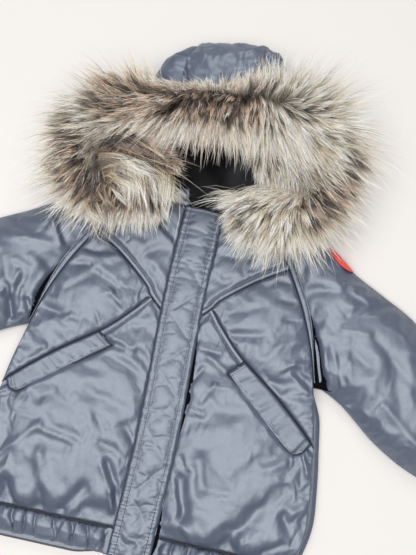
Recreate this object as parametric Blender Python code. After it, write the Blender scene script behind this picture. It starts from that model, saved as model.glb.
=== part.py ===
"""A child's hooded padded jacket, fastened and laid flat on its back, front up.

Run with: blender --background --python part.py
Metres, +Z up, +Y towards the hood, +X towards the wearer's left sleeve.
The origin is on the surface that the jacket lies on, below the middle of the neckline.
Tables and helper functions work in millimetres. wall() turns them into metres.
"""

import math

import bmesh
import bpy
from mathutils import Vector

MM = 0.001

# Driving sizes, in millimetres
HALF_GAP = 0.22          # each piece stops this far short of its seam
REST_LAYER = 9.0         # flat top of the back layer
FRONT_UNDERSIDE = 9.6    # flat underside of everything in the front layer
FLAP_UNDERSIDE = 17.6    # the storm flap lies flat on the two fronts
UNDER_FLAP = 17.0        # top of the fronts where the flap covers them
SEAM_HEIGHT = 15.5       # top of a front panel at its seams
PANEL_RISE = 11.0        # how far the padding stands above the seams
PUFF_WIDTH = 34.0        # how far from a seam the padding is full
ZIP_X = 4.0              # the zip runs a little to the wearer's left
ZIP_HALF = 5.5
FLAP_SIDES = {1: 31.0, -1: 23.0}
FLAT_SIDES = {1: 35.0, -1: 27.0}
NECK_Y = 12.0
BACK_NECK_Y = 24.0
YOKE_TIP_Y = -122.0
HEM_SEAM_Y = -408.0
HEM_EDGE_Y = -441.0
SLIT_LOW, SLIT_HIGH = 8.0, 11.0
PLEAT_PITCH = 13.5       # elastic gathers of the hem band
CUFF_PITCH = 11.5
HOOD_WALL = 4.5
LINING_WALL = 1.2
HOOD_LEAN = -4.0         # the hood lies a little to the wearer's right

# Seam lines on the wearer's left, mirrored for the right (x, y)
FRONT_RAGLAN_UPPER = [(88, 12), (110, -17), (129, -45)]
FRONT_RAGLAN_LOWER = [(129, -45), (154, -90), (175, -140), (187, -182)]
BACK_RAGLAN = [(80, 24), (110, -14), (146, -68), (172, -128), (187, -182)]
FRONT_SIDE = [(187, -182), (197, -225), (203, -262)]
LOWER_SIDE = [(203, -262), (210, -312), (213, -360), (203, -408)]
BACK_SIDE = [(187, -182), (197, -225), (203, -262), (210, -312), (213, -360), (203, -408)]
YOKE_SEAM = [(50, -103), (82, -76), (105, -60), (129, -45)]
POCKET_SEAM = [(60, -138), (91, -169), (145, -209), (189, -247), (203, -262)]
SHOULDER_FOLD = [(90, 32), (128, 21), (166, 4), (212, -29), (258, -53), (304, -78),
                 (388, -141), (471, -202)]
UNDERARM_FOLD = [(187, -182), (229, -203), (282, -243), (340, -271), (423, -289)]

SAMPLES = {"yoke": 6, "raglan_upper": 4, "raglan_lower": 8, "side": 5, "lower_side": 9}

# Large folds that the cloth lies in, on both fronts and the sleeves: a ridge where lift
# is above 0 and a trough where it is below
FOLDS = [
    # x0, y0, x1, y1, half width, lift
    (-70, -390, -60, -320, 11, -4.0),
    (-118, -400, -104, -345, 12, -3.5),
    (-160, -300, -60, -250, 16, 2.5),
    (-150, -350, -90, -300, 14, 2.5),
    (-60, -230, -40, -330, 13, 2.0),
    (-120, -120, -60, -130, 16, 2.0),
    (-160, -170, -90, -160, 15, 2.5),
    (60, -385, 75, -300, 13, -4.0),
    (95, -395, 150, -345, 13, -4.5),
    (170, -395, 185, -330, 11, 2.5),
    (60, -250, 150, -330, 18, 2.5),
    (80, -130, 160, -150, 14, 2.0),
    (110, -90, 150, -130, 12, 2.0),
    (100, -215, 180, -230, 10, -2.0),
    (230, -60, 330, -150, 15, 3.0),
    (300, -120, 400, -210, 14, 3.0),
    (240, -180, 320, -200, 13, -3.0),
    (-230, -70, -330, -150, 15, 3.0),
    (-260, -190, -330, -230, 13, -3.0),
    (-300, -130, -400, -200, 14, 3.0),
]

# The left half of the hood's outside (x, y, z), mirrored for the right half
HOOD_SEAM_UPPER = [(55, 124, 54), (55, 154, 59), (54, 194, 58), (50, 222, 44), (50, 229, 27)]
HOOD_SEAM_LOWER = [(50, 229, 27), (50, 218, 8), (50, 190, 0), (50, 104, 0), (50, 24.1, 0)]
HOOD_FACE_EDGE = [(55, 124, 54), (68, 116, 52), (76, 98, 49), (77, 72, 45), (70, 48, 40),
                  (56, 28, 33), (40, 12.4, 24)]
HOOD_NECK_EDGE = [(40, 12.4, 24), (62, 12.6, 24), (80, 15, 23), (78, 24.4, 10), (50, 24.1, 0)]
HOOD_BULGE = 28.0        # how far the side panels stand out past their edges
HOOD_STEPS_UPPER = 8
HOOD_STEPS_LOWER = 10
HOOD_CENTRE_STEPS = 6

# The fur strip, from the wearer's right neck round the face to the left neck
RUFF_STATIONS = [
    # x, y, centre z, half width inside the loop, outside the loop, half height
    (-44, 4, 44, 12, 14, 13),
    (-60, 2, 50, 34, 32, 26),
    (-90, 0, 55, 47, 44, 36),
    (-126, 2, 54, 48, 50, 42),
    (-158, 22, 50, 40, 54, 44),
    (-168, 54, 48, 38, 50, 44),
    (-154, 88, 50, 40, 54, 44),
    (-120, 106, 58, 48, 50, 42),
    (-80, 114, 72, 54, 48, 34),
    (-36, 120, 82, 46, 48, 30),
    (4, 124, 84, 49, 48, 30),
    (44, 132, 82, 56, 56, 32),
    (84, 138, 74, 57, 64, 36),
    (118, 130, 60, 53, 66, 42),
    (146, 104, 52, 44, 54, 44),
    (152, 70, 50, 42, 48, 44),
    (140, 36, 52, 44, 50, 44),
    (112, 16, 56, 50, 52, 40),
    (80, 8, 56, 48, 48, 34),
    (54, 4, 50, 30, 34, 25),
    (40, 6, 44, 12, 14, 13),
]
RUFF_RINGS = 54
RUFF_AROUND = 16

MATERIALS = {
    # colour, roughness, metallic
    "shell": ((0.15, 0.17, 0.21), 0.38, 0.0),
    "lining": ((0.012, 0.012, 0.014), 0.35, 0.0),
    "fur": ((0.42, 0.33, 0.26), 0.9, 0.0),
    "zip": ((0.03, 0.03, 0.035), 0.5, 0.0),
    "patch": ((0.75, 0.07, 0.06), 0.6, 0.0),
}


def clear_scene():
    for obj in list(bpy.data.objects):
        bpy.data.objects.remove(obj)


def make_materials():
    made = {}
    for name, (colour, roughness, metallic) in MATERIALS.items():
        material = bpy.data.materials.new(name)
        material.use_nodes = True
        shader = material.node_tree.nodes["Principled BSDF"]
        shader.inputs["Base Color"].default_value = (*colour, 1.0)
        shader.inputs["Roughness"].default_value = roughness
        shader.inputs["Metallic"].default_value = metallic
        made[name] = material
    return made


def smoothstep(t):
    t = min(max(t, 0.0), 1.0)
    return t * t * (3 - 2 * t)


def curve_point(points, t):
    """The point at t, from 0 to 1 of the rows, on a Catmull-Rom curve through the rows."""
    last = len(points) - 1
    at = min(max(t, 0.0), 1.0) * last
    i = min(int(at), last - 1)
    f = at - i
    p0 = points[i - 1] if i > 0 else 2 * points[0] - points[1]
    p1, p2 = points[i], points[i + 1]
    p3 = points[i + 2] if i + 2 <= last else 2 * points[last] - points[last - 1]
    return 0.5 * (
        2 * p1
        + (p2 - p0) * f
        + (2 * p0 - 5 * p1 + 4 * p2 - p3) * f * f
        + (3 * p1 - p0 - 3 * p2 + p3) * f * f * f
    )


def even_line(points, count, fine=24):
    """count + 1 points, evenly spaced along a smooth curve through the given ones."""
    points = [Vector(p) for p in points]
    dense = [curve_point(points, k / (fine * len(points))) for k in range(fine * len(points) + 1)]
    lengths = [0.0]
    for a, b in zip(dense, dense[1:]):
        lengths.append(lengths[-1] + (b - a).length)
    line, k = [], 0
    for i in range(count + 1):
        target = lengths[-1] * i / count
        while k < len(dense) - 2 and lengths[k + 1] < target:
            k += 1
        share = (target - lengths[k]) / max(lengths[k + 1] - lengths[k], 1e-9)
        line.append(dense[k].lerp(dense[k + 1], min(max(share, 0.0), 1.0)))
    return line


def mirrored(line, side):
    return [Vector((side * p[0], *p[1:])) for p in line]


def patch_grid(top, bottom, left, right, shares=None):
    """A Coons patch: rows run from top to bottom, and each row from left to right."""
    rows, columns = len(left) - 1, len(top) - 1
    shares = shares or [j / rows for j in range(rows + 1)]
    grid = []
    for j, v in enumerate(shares):
        row = []
        for i in range(columns + 1):
            u = i / columns
            ruled = top[i].lerp(bottom[i], v) + left[j].lerp(right[j], u)
            corners = top[0].lerp(top[-1], u).lerp(bottom[0].lerp(bottom[-1], u), v)
            row.append(ruled - corners)
        grid.append(row)
    return grid


def inset(grid):
    """Moves the outline of a grid inwards, so that pieces stay apart at their seams."""
    rows, columns = len(grid), len(grid[0])
    moved = [[p.copy() for p in row] for row in grid]
    for j in range(rows):
        for i in range(columns):
            step = grid[j][i] * 0
            if i == 0:
                step += (grid[j][1] - grid[j][0]).normalized()
            if i == columns - 1:
                step += (grid[j][-2] - grid[j][-1]).normalized()
            if j == 0:
                step += (grid[1][i] - grid[0][i]).normalized()
            if j == rows - 1:
                step += (grid[-2][i] - grid[-1][i]).normalized()
            moved[j][i] += step * HALF_GAP * 1.2
    return moved


def outline_of(grid):
    return grid[0] + [row[-1] for row in grid[1:]] + grid[-1][-2::-1] + [
        row[0] for row in grid[-2:0:-1]]


def distance_to(line, p, closed=True):
    """How far the point p is from a line in the plane."""
    best = 1e9
    for a, b in zip(line, line[1:] + line[:1] if closed else line[1:]):
        along = b - a
        share = (p - a).dot(along) / max(along.length_squared, 1e-9)
        best = min(best, (a + along * min(max(share, 0.0), 1.0) - p).length)
    return best


def puffed(distance, width=PUFF_WIDTH):
    """0 at a seam to 1 where the padding is full, steep at first like a pillow's edge."""
    t = min(distance / width, 1.0)
    return math.sqrt(1 - (1 - t) ** 2)


def fold_lift(p):
    """The large folds at a point of the plan."""
    total = 0.0
    for x0, y0, x1, y1, half_width, lift in FOLDS:
        a, along = Vector((x0, y0)), Vector((x1 - x0, y1 - y0))
        share = (p - a).dot(along) / along.length_squared
        off = (p - a - along * min(max(share, 0.0), 1.0)).length
        total += lift * math.exp(-((off / half_width) ** 2))
    return total


def wall(name, outer, inner, material, ring=False):
    """A closed solid between two grids of points in millimetres. On a ring each row is a loop."""
    mesh = bmesh.new()
    rows, columns = len(outer), len(outer[0])
    out = [[mesh.verts.new(Vector(p) * MM) for p in row] for row in outer]
    back = [[mesh.verts.new(Vector(p) * MM) for p in row] for row in inner]
    spans = columns if ring else columns - 1

    def quad(a, b, c, d):
        mesh.faces.new((a, b, c))
        mesh.faces.new((a, c, d))

    for j in range(rows - 1):
        for i in range(spans):
            k = (i + 1) % columns
            quad(out[j][i], out[j][k], out[j + 1][k], out[j + 1][i])
            quad(back[j][i], back[j + 1][i], back[j + 1][k], back[j][k])
    for i in range(spans):
        k = (i + 1) % columns
        quad(out[0][i], back[0][i], back[0][k], out[0][k])
        quad(out[-1][i], out[-1][k], back[-1][k], back[-1][i])
    if not ring:
        for j in range(rows - 1):
            quad(out[j][0], out[j + 1][0], back[j + 1][0], back[j][0])
            quad(out[j][-1], back[j][-1], back[j + 1][-1], out[j + 1][-1])
    bmesh.ops.recalc_face_normals(mesh, faces=mesh.faces)
    data = bpy.data.meshes.new(name)
    mesh.to_mesh(data)
    mesh.free()
    data.materials.append(material)
    data.shade_smooth()
    data.set_sharp_from_angle(angle=math.radians(50))
    obj = bpy.data.objects.new(name, data)
    bpy.context.scene.collection.objects.link(obj)
    return obj


def slab(name, grid, top, underside, material):
    """A flat-lying panel: top and underside give the height at each point of its plan."""
    outer = [[Vector((p.x, p.y, top(p))) for p in row] for row in grid]
    inner = [[Vector((p.x, p.y, underside(p))) for p in row] for row in grid]
    return wall(name, outer, inner, material)


def front_top(grid, side):
    """The top of a padded front panel: low at its seams and level under the storm flap."""
    line = outline_of(grid)
    flat = FLAT_SIDES[side]

    def height(p):
        padding = PANEL_RISE * puffed(distance_to(line, p)) + fold_lift(p)
        full = SEAM_HEIGHT + max(padding, 0.0)
        clear = smoothstep((abs(p.x) - flat) / 16)
        return UNDER_FLAP + (full - UNDER_FLAP) * clear

    return height


def under_flap_column(grid, side):
    """Carries a front panel on, below the flap, to the zip."""
    edge = ZIP_X + side * (ZIP_HALF + 0.4)
    return [[Vector((edge, row[0].y))] + row for row in grid]


def seam_lines(side):
    """The seam lines of one side of the front, as evenly spaced points."""
    tip = (FLAT_SIDES[side] + 0.5, YOKE_TIP_Y)
    lines = {
        "yoke": even_line([tip, *YOKE_SEAM], SAMPLES["yoke"]),
        "raglan_upper": even_line(FRONT_RAGLAN_UPPER, SAMPLES["raglan_upper"]),
        "raglan_lower": even_line(FRONT_RAGLAN_LOWER, SAMPLES["raglan_lower"]),
        "pocket": even_line(
            [(tip[0], tip[1] - 3.0), *POCKET_SEAM], SAMPLES["yoke"] + SAMPLES["raglan_lower"]),
        "side": even_line(FRONT_SIDE, SAMPLES["side"]),
        "lower_side": even_line(LOWER_SIDE, SAMPLES["lower_side"]),
    }
    own = {name: mirrored(line, side) for name, line in lines.items()}
    own["yoke"][0].x = side * tip[0]
    return own


def straight(a, b, shares):
    return [Vector(a).lerp(Vector(b), s) for s in shares]


def build_front(side, materials):
    """The three panels of one front: yoke, chest panel and lower front, and the pocket welt."""
    label = "left" if side > 0 else "right"
    seams = seam_lines(side)
    shell = materials["shell"]
    flat = side * FLAT_SIDES[side]

    def underside(p):
        return FRONT_UNDERSIDE

    # Yoke: from the neckline down to the slanting seam
    rows = SAMPLES["raglan_upper"]
    columns = SAMPLES["yoke"]
    shares = [0, 0.25, 0.5, 0.75, 1]
    neck_end = seams["raglan_upper"][0]
    grid = patch_grid(
        straight((flat, NECK_Y), neck_end, [i / columns for i in range(columns + 1)]),
        seams["yoke"],
        straight((flat, NECK_Y), seams["yoke"][0], shares),
        seams["raglan_upper"],
        shares[: rows + 1],
    )
    grid = inset(under_flap_column(grid, side))
    slab(f"front_yoke_{label}", grid, front_top(grid, side), underside, shell)

    # Chest panel: between the yoke, the raglan seam and the pocket seam
    rows = SAMPLES["side"]
    top = seams["yoke"] + seams["raglan_lower"][1:]
    grid = patch_grid(
        top,
        seams["pocket"],
        straight(top[0], seams["pocket"][0], [j / rows for j in range(rows + 1)]),
        seams["side"],
    )
    grid = inset(grid)
    slab(f"front_chest_{label}", grid, front_top(grid, side), underside, shell)

    # Lower front: from the pocket seam to the hem band
    rows = SAMPLES["lower_side"]
    shares = [0, 0.05, 0.11, 0.2, 0.32, 0.46, 0.6, 0.74, 0.88, 1]
    corner = seams["lower_side"][-1]
    columns = len(seams["pocket"]) - 1
    grid = patch_grid(
        seams["pocket"],
        straight((flat, HEM_SEAM_Y), corner, [i / columns for i in range(columns + 1)]),
        straight(seams["pocket"][0], (flat, HEM_SEAM_Y), shares),
        seams["lower_side"],
        shares,
    )
    grid = inset(under_flap_column(grid, side))
    top_of_lower = front_top(grid, side)
    slab(f"front_lower_{label}", grid, top_of_lower, underside, shell)

    # The welt lies on the lower front, so it is made from that panel's own points
    first, last = 6, len(grid[0]) - 2
    part = [row[first:last + 1] for row in grid[0:3]]
    under = [[Vector((p.x, p.y, top_of_lower(p) + 0.4)) for p in row] for row in part]
    over = [[p + Vector((0, 0, 3.6)) for p in row] for row in under]
    for i in range(len(over[0])):
        over[0][i].z += 1.6
        over[1][i].z += 1.4
    wall(f"pocket_welt_{label}", over, under, shell)


def build_back(materials):
    """The back panel lies flat on the surface, its edges lifted a little."""
    raglan = even_line(BACK_RAGLAN, SAMPLES["raglan_upper"] + SAMPLES["raglan_lower"])
    side = even_line(BACK_SIDE, 10)[1:]
    shows = 8.0      # the back shows past the front on the wearer's left
    left, right = [], []
    for p in raglan + side:
        past = shows * smoothstep((-p.y - 185) / 45)
        right.append(Vector((p.x + past, p.y)))
        left.append(Vector((-p.x, p.y)))
    columns = 12
    shares = [i / columns for i in range(columns + 1)]
    neck = straight(left[0], right[0], shares)
    hem = straight(left[-1], right[-1], shares)
    rows = len(left) - 1
    drop = right[0].y - right[-1].y
    grid = inset(patch_grid(
        neck, hem, left, right, [(right[0].y - right[j].y) / drop for j in range(rows + 1)]))
    edges = [[row[0] for row in grid], [row[-1] for row in grid]]

    def underside(p):
        away = min(distance_to(edge, p, closed=False) for edge in edges)
        return 4.5 * (1 - smoothstep(away / 16))

    slab("back_body", grid, lambda p: REST_LAYER, underside, materials["shell"])

    # Inside the neck the back is lined as the hood is
    half, gap = 62.0, 0.3
    lined = [[Vector((half * (2 * i / 6 - 1), y)) for i in range(7)]
             for y in (BACK_NECK_Y - gap, NECK_Y + gap)]
    slab("neck_lining", lined, lambda p: REST_LAYER + gap + LINING_WALL,
         lambda p: REST_LAYER + gap, materials["lining"])


def pleat_wave(x, pitch):
    """0 in the crease to 1 on the crown of a gather, uneven in spacing like real elastic."""
    phase = x / pitch + 0.22 * math.sin(x / 23.0) + 0.12 * math.sin(x / 9.7 + 1.0)
    return abs(math.sin(math.pi * phase)) ** 0.7


def build_hem(materials):
    """The elastic hem band: two front halves and one back, all gathered."""
    shell = materials["shell"]
    columns_a_pleat = 3.4
    for side in (1, -1):
        label = "left" if side > 0 else "right"
        start = ZIP_X + side * (ZIP_HALF + 0.4)
        top_end, low_end = 203 * side, 196 * side
        count = int(abs(top_end - start) / PLEAT_PITCH * columns_a_pleat)
        shares = [i / count for i in range(count + 1)]
        top = straight((start, HEM_SEAM_Y), (top_end, HEM_SEAM_Y), shares)
        low = straight((start, HEM_EDGE_Y), (low_end, HEM_EDGE_Y), shares)
        steps = [0, 0.5, 1]
        grid = inset(patch_grid(
            top, low, straight(top[0], low[0], steps), straight(top[-1], low[-1], steps)))

        def height(p, side=side):
            middle = 1 - abs(p.y - (HEM_SEAM_Y + HEM_EDGE_Y) / 2) * 2 / (HEM_SEAM_Y - HEM_EDGE_Y)
            crown = 13.0 + 2.5 * max(middle, 0) + 5.0 * pleat_wave(p.x, PLEAT_PITCH)
            clear = smoothstep((abs(p.x) - FLAT_SIDES[side]) / 10)
            return 15.5 + (crown - 15.5) * clear

        slab(f"hem_front_{label}", grid, height, lambda p: FRONT_UNDERSIDE, shell)
    count = int(414 / PLEAT_PITCH * 3)
    shares = [i / count for i in range(count + 1)]
    top = straight((-203, HEM_SEAM_Y), (211, HEM_SEAM_Y), shares)
    low = straight((-196, HEM_EDGE_Y), (202, HEM_EDGE_Y), shares)
    grid = inset(patch_grid(
        top, low, straight(top[0], low[0], [0, 0.5, 1]), straight(top[-1], low[-1], [0, 0.5, 1])))
    slab(
        "hem_back", grid, lambda p: REST_LAYER,
        lambda p: 2.2 * (1 - pleat_wave(p.x, PLEAT_PITCH)), shell)


def build_flap_and_zip(materials):
    """The storm flap over the zip, from the neckline to the hem, with its zigzag quilting."""
    rows, columns = 46, 6
    pitch = 62.0     # one leg of the zigzag
    grid, tops = [], []
    for j in range(rows + 1):
        y = NECK_Y - 1.0 + (HEM_EDGE_Y - NECK_Y + 1.0) * j / rows
        sway = 2.0 * math.sin(y / 62.0)
        left, right = -FLAP_SIDES[-1] + sway, FLAP_SIDES[1] + sway
        grid.append([Vector((left + (right - left) * i / columns, y)) for i in range(columns + 1)])
    for row in grid:
        line = []
        for i, p in enumerate(row):
            u = i / columns
            leg = abs((p.y / pitch) % 2 - 1)
            quilt = min(abs(u - leg) / 0.3, 1.0)
            edge = 1.0 if i in (0, columns) else 0.0
            line.append(Vector((p.x, p.y, 23.6 - 1.6 * edge - 1.3 * (1 - quilt) * (1 - edge))))
        tops.append(line)
    inner = [[Vector((p.x, p.y, FLAP_UNDERSIDE)) for p in row] for row in grid]
    wall("storm_flap", tops, inner, materials["shell"])

    ends = (NECK_Y - 4.0, HEM_EDGE_Y + 4.0)
    strip = [[Vector((ZIP_X + s * ZIP_HALF, y)) for s in (-1, 0, 1)] for y in ends]
    slab("zip", strip, lambda p: 16.9 if abs(p.x - ZIP_X) < 1 else 14.5,
         lambda p: FRONT_UNDERSIDE, materials["zip"])


def sleeve_sections(side):
    """Plan sections of one sleeve from the raglan seam to the cuff. Each has the upper layer's
    points and the lower layer's, both from the shoulder fold to the underarm fold."""
    upper_raglan = (even_line(FRONT_RAGLAN_UPPER, SAMPLES["raglan_upper"])
                    + even_line(FRONT_RAGLAN_LOWER, SAMPLES["raglan_lower"])[1:])
    lower_raglan = even_line(BACK_RAGLAN, SAMPLES["raglan_upper"] + SAMPLES["raglan_lower"])
    fold = Vector(SHOULDER_FOLD[0])
    upper_raglan = [fold] + upper_raglan
    lower_raglan = [fold] + lower_raglan
    steps = 13
    shoulder = even_line(SHOULDER_FOLD, steps)
    underarm = even_line(UNDERARM_FOLD, steps)
    points = len(upper_raglan) - 1
    sections = []
    for k in range(steps + 1):
        keep = max(1 - k / 5, 0.0) ** 1.5       # how much of the raglan's curve is left
        layers = []
        for raglan in (upper_raglan, lower_raglan):
            row = []
            for i, p in enumerate(raglan):
                w = i / points
                chord = raglan[0].lerp(raglan[-1], w)
                row.append(shoulder[k].lerp(underarm[k], w) + (p - chord) * keep)
            layers.append([Vector((side * q.x, q.y)) for q in row])
        sections.append(layers)
    return sections


def sleeve_ring(layers, rise):
    """Outer and inner loops of a flattened tube. The inner one is the thin slit between layers."""
    upper, lower = layers
    last = len(upper) - 1
    middle = (SLIT_LOW + SLIT_HIGH) / 2
    outer, inner = [], []

    def add(p, z_out, z_in, toward=None):
        q = p.lerp(toward, 0.6) if toward else p
        outer.append(Vector((p.x, p.y, z_out)))
        inner.append(Vector((q.x, q.y, z_in)))

    add(upper[0], 8.5, middle, upper[1].lerp(lower[1], 0.5))
    for i in range(1, last):
        pillow = max(1 - abs(2 * i / last - 1) ** 2.6, 0.0) ** 0.6
        lift = fold_lift(upper[i]) if rise > 8 else 0.0
        add(upper[i], 13.0 + (rise + lift) * pillow, SLIT_HIGH)
    add(upper[last], 8.5, middle, upper[last - 1].lerp(lower[last - 1], 0.5))
    for i in range(last - 1, 0, -1):
        add(lower[i], 2.2 if i in (1, last - 1) else 0.0, SLIT_LOW)
    return outer, inner


def build_sleeve(side, materials):
    label = "left" if side > 0 else "right"
    sections = sleeve_sections(side)
    outer_rows, inner_rows = [], []
    for k, layers in enumerate(sections):
        rise = 3.0 + 12.0 * smoothstep(k / 3)
        outer, inner = sleeve_ring(layers, rise)
        outer_rows.append(outer)
        inner_rows.append(inner)
    # The first section stands off the raglan seam, and the last one off the cuff
    for rows in (outer_rows, inner_rows):
        for near, far in ((0, 1), (-1, -2)):
            rows[near] = [
                p + Vector((*(q.xy - p.xy).normalized(), 0)) * HALF_GAP * 2.2
                for p, q in zip(rows[near], rows[far])]
    sleeve = wall(f"sleeve_{label}", outer_rows, inner_rows, materials["shell"], ring=True)
    build_cuff(side, sections[-1], materials)
    return sleeve, outer_rows


def build_cuff(side, layers, materials):
    """The gathered elastic cuff that closes the sleeve's end."""
    label = "left" if side > 0 else "right"
    top, low = layers[0][0], layers[0][-1]
    along = Vector((side * 0.875, -0.485))
    top, low = top + along * 0.4, low + along * 0.4
    across = low - top
    waves_above, points_below = 27, 12
    outer_rows, inner_rows = [], []
    for step, narrowing in ((0.0, 0.0), (13.0, 0.07), (26.0, 0.08), (38.0, 0.06)):
        start = top + across * narrowing + along * step
        end = low - across * narrowing + along * step
        outer, inner = [], []
        for i in range(waves_above + 1):
            w = i / waves_above
            on_fold = i in (0, waves_above)
            pillow = max(1 - abs(2 * w - 1) ** 3, 0.0) ** 0.6
            wave = pleat_wave(w * 98 + 3, CUFF_PITCH)
            p = start.lerp(end, w)
            outer.append(Vector((p.x, p.y, 9.5 if on_fold else 13.4 + 5 * wave * pillow)))
            q = start.lerp(end, w + (0.5 - w) * 1.3 / waves_above) if on_fold else p
            inner.append(Vector((q.x, q.y, 9.5 if on_fold else SLIT_HIGH)))
        for i in range(points_below - 1, 0, -1):
            p = start.lerp(end, i / points_below)
            outer.append(Vector((p.x, p.y, 2.0 if i in (1, points_below - 1) else 0.0)))
            inner.append(Vector((p.x, p.y, SLIT_LOW)))
        outer_rows.append(outer)
        inner_rows.append(inner)
    wall(f"cuff_{label}", outer_rows, inner_rows, materials["shell"], ring=True)


def build_patch(outer_rows, materials):
    """The plain red patch that wraps the shoulder fold of the left sleeve, made from its points."""
    stations = (2, 3, 4)     # sections of the sleeve that the patch spans
    around = (1, 0, -1)      # from the upper layer, over the fold, to the lower one
    rows = [[outer_rows[k][i] for i in around] for k in stations]
    fine = []
    for a, b in zip(rows, rows[1:]):
        for f in (0, 0.5):
            fine.append([p.lerp(q, f) for p, q in zip(a, b)])
    fine.append(rows[-1])
    fine = fine[1:]
    out = Vector((0.42, 0.9, 0))     # square to the fold, in plan
    up = Vector((0, 0, 1))

    def lifted(row, amount):
        top, fold, low = row
        # The upper edge of the patch stops a few millimetres inside the fold
        top = fold.lerp(top, 0.62)
        return [top + up * amount + out * amount * 0.5, fold + out * amount * 1.4,
                low + out * amount * 1.4]

    wall("arm_patch", [lifted(r, 3.2) for r in fine], [lifted(r, 1.2) for r in fine],
         materials["patch"])


def hood_surface():
    """The outside of the hood: grids of the centre panel and of its left and right sides."""
    upper = even_line(HOOD_SEAM_UPPER, HOOD_STEPS_UPPER)
    lower = even_line(HOOD_SEAM_LOWER, HOOD_STEPS_LOWER)
    face = even_line(HOOD_FACE_EDGE, HOOD_STEPS_LOWER)
    neck = even_line(HOOD_NECK_EDGE, HOOD_STEPS_UPPER)
    side = patch_grid(upper, neck, face, lower)
    for j, row in enumerate(side):
        for i, p in enumerate(row):
            u, v = i / HOOD_STEPS_UPPER, j / HOOD_STEPS_LOWER
            p.x += HOOD_BULGE * (4 * u * (1 - u)) ** 0.5 * (4 * v * (1 - v)) ** 0.35
    centre = []
    for e in upper + lower[1:]:
        row = []
        for i in range(HOOD_CENTRE_STEPS + 1):
            u = 2 * i / HOOD_CENTRE_STEPS - 1
            crown = 1 - u * u
            row.append(Vector((u * e.x, e.y + 7.0 * crown * smoothstep((e.y - 190) / 30),
                               e.z + 3.5 * crown * smoothstep((e.z - 8) / 30))))
        centre.append(row)
    grids = {
        "centre": centre,
        "side_left": side,
        "side_right": [[Vector((-p.x, p.y, p.z)) for p in row] for row in side],
    }
    for grid in grids.values():
        for row in grid:
            for p in row:
                p.x += HOOD_LEAN * smoothstep((p.y - 40) / 120)
                p.z = max(p.z, 0.0)
    return grids


def spot(p):
    """The same value for points that two grids share along a seam."""
    return round(p.x, 2), round(p.y, 2), round(p.z, 2)


def inward_directions(grids, middle):
    """For each point of the grids, a unit vector into the hollow, evened out over neighbours."""
    facing, near = {}, {}
    for grid in grids:
        for j in range(len(grid) - 1):
            for i in range(len(grid[0]) - 1):
                a, b = grid[j][i], grid[j][i + 1]
                c, d = grid[j + 1][i + 1], grid[j + 1][i]
                normal = (d - b).cross(c - a)
                if normal.dot(middle - a) < 0:
                    normal = -normal
                loop = [spot(p) for p in (a, b, c, d)]
                for k, key in enumerate(loop):
                    facing[key] = facing.get(key, Vector((0, 0, 0))) + normal
                    near.setdefault(key, set()).update((loop[k - 1], loop[(k + 1) % 4]))
    facing = {key: v.normalized() for key, v in facing.items()}
    for _ in range(3):
        facing = {
            key: (v + sum((facing[n] for n in sorted(near[key])), Vector((0, 0, 0)))
                  / len(near[key])).normalized()
            for key, v in facing.items()}
    return facing


def build_hood(materials):
    """Centre panel and two side panels, each with its piece of the dark lining inside."""
    grids = hood_surface()
    into = inward_directions(grids.values(), Vector((HOOD_LEAN, 120, 26)))
    near = HOOD_WALL + 0.5
    layers = {
        "hood": (0.0, HOOD_WALL, "shell"),
        "hood_lining": (near, near + LINING_WALL, "lining"),
    }
    for part, grid in grids.items():
        for layer, (start, end, material) in layers.items():
            faces = []
            for depth in (start, end):
                moved = [[p + into[spot(p)] * depth for p in row] for row in grid]
                faces.append(inset(moved))
            wall(f"{layer}_{part}", *faces, materials[material])


def ground_under_ruff(p):
    """The height that the fur strip has to clear: hood, shoulders, fronts or the bare surface."""
    hood_heights = [(-60, 28), (10, 29), (32, 38), (54, 46), (78, 52), (100, 57), (124, 62),
                    (300, 64)]
    x = p.x - HOOD_LEAN * 0.5
    for (y0, z0), (y1, z1) in zip(hood_heights, hood_heights[1:]):
        if y0 <= p.y <= y1:
            hood = z0 + (z1 - z0) * (p.y - y0) / (y1 - y0)
    shoulder_y = 30 - 0.42 * max(abs(p.x) - 96, 0)
    body = 29.5 * (1 - smoothstep((p.y - shoulder_y) / 10))
    beside = smoothstep((abs(x) - 100) / 46)
    return hood * (1 - beside) + max(body, 0.6) * beside


def build_ruff(materials):
    """The fur strip round the face, as far out as the fur reaches."""
    stations = [Vector(row[:3]) for row in RUFF_STATIONS]
    sizes = [Vector(row[3:]) for row in RUFF_STATIONS]
    rings = []
    for k in range(RUFF_RINGS + 1):
        t = k / RUFF_RINGS
        centre, size = curve_point(stations, t), curve_point(sizes, t)
        step = 0.004
        ahead = curve_point(stations, min(t + step, 1)) - curve_point(stations, max(t - step, 0))
        outward = Vector((-ahead.y, ahead.x, 0)).normalized()
        inside, outside, tall = size
        ring = []
        for i in range(RUFF_AROUND):
            angle = 2 * math.pi * i / RUFF_AROUND
            reach = outside if math.cos(angle) > 0 else inside
            lump = 1 + 0.05 * math.sin(3 * angle + 9 * t * math.pi) + 0.04 * math.sin(
                31 * t + 2 * angle)
            p = centre + outward * (reach * math.cos(angle) * lump)
            p.z += tall * math.sin(angle) * lump
            p.z = max(p.z, ground_under_ruff(p) + 1.0)
            ring.append(p)
        rings.append(ring)
    make_tube("fur_ruff", rings, materials["fur"])


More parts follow.
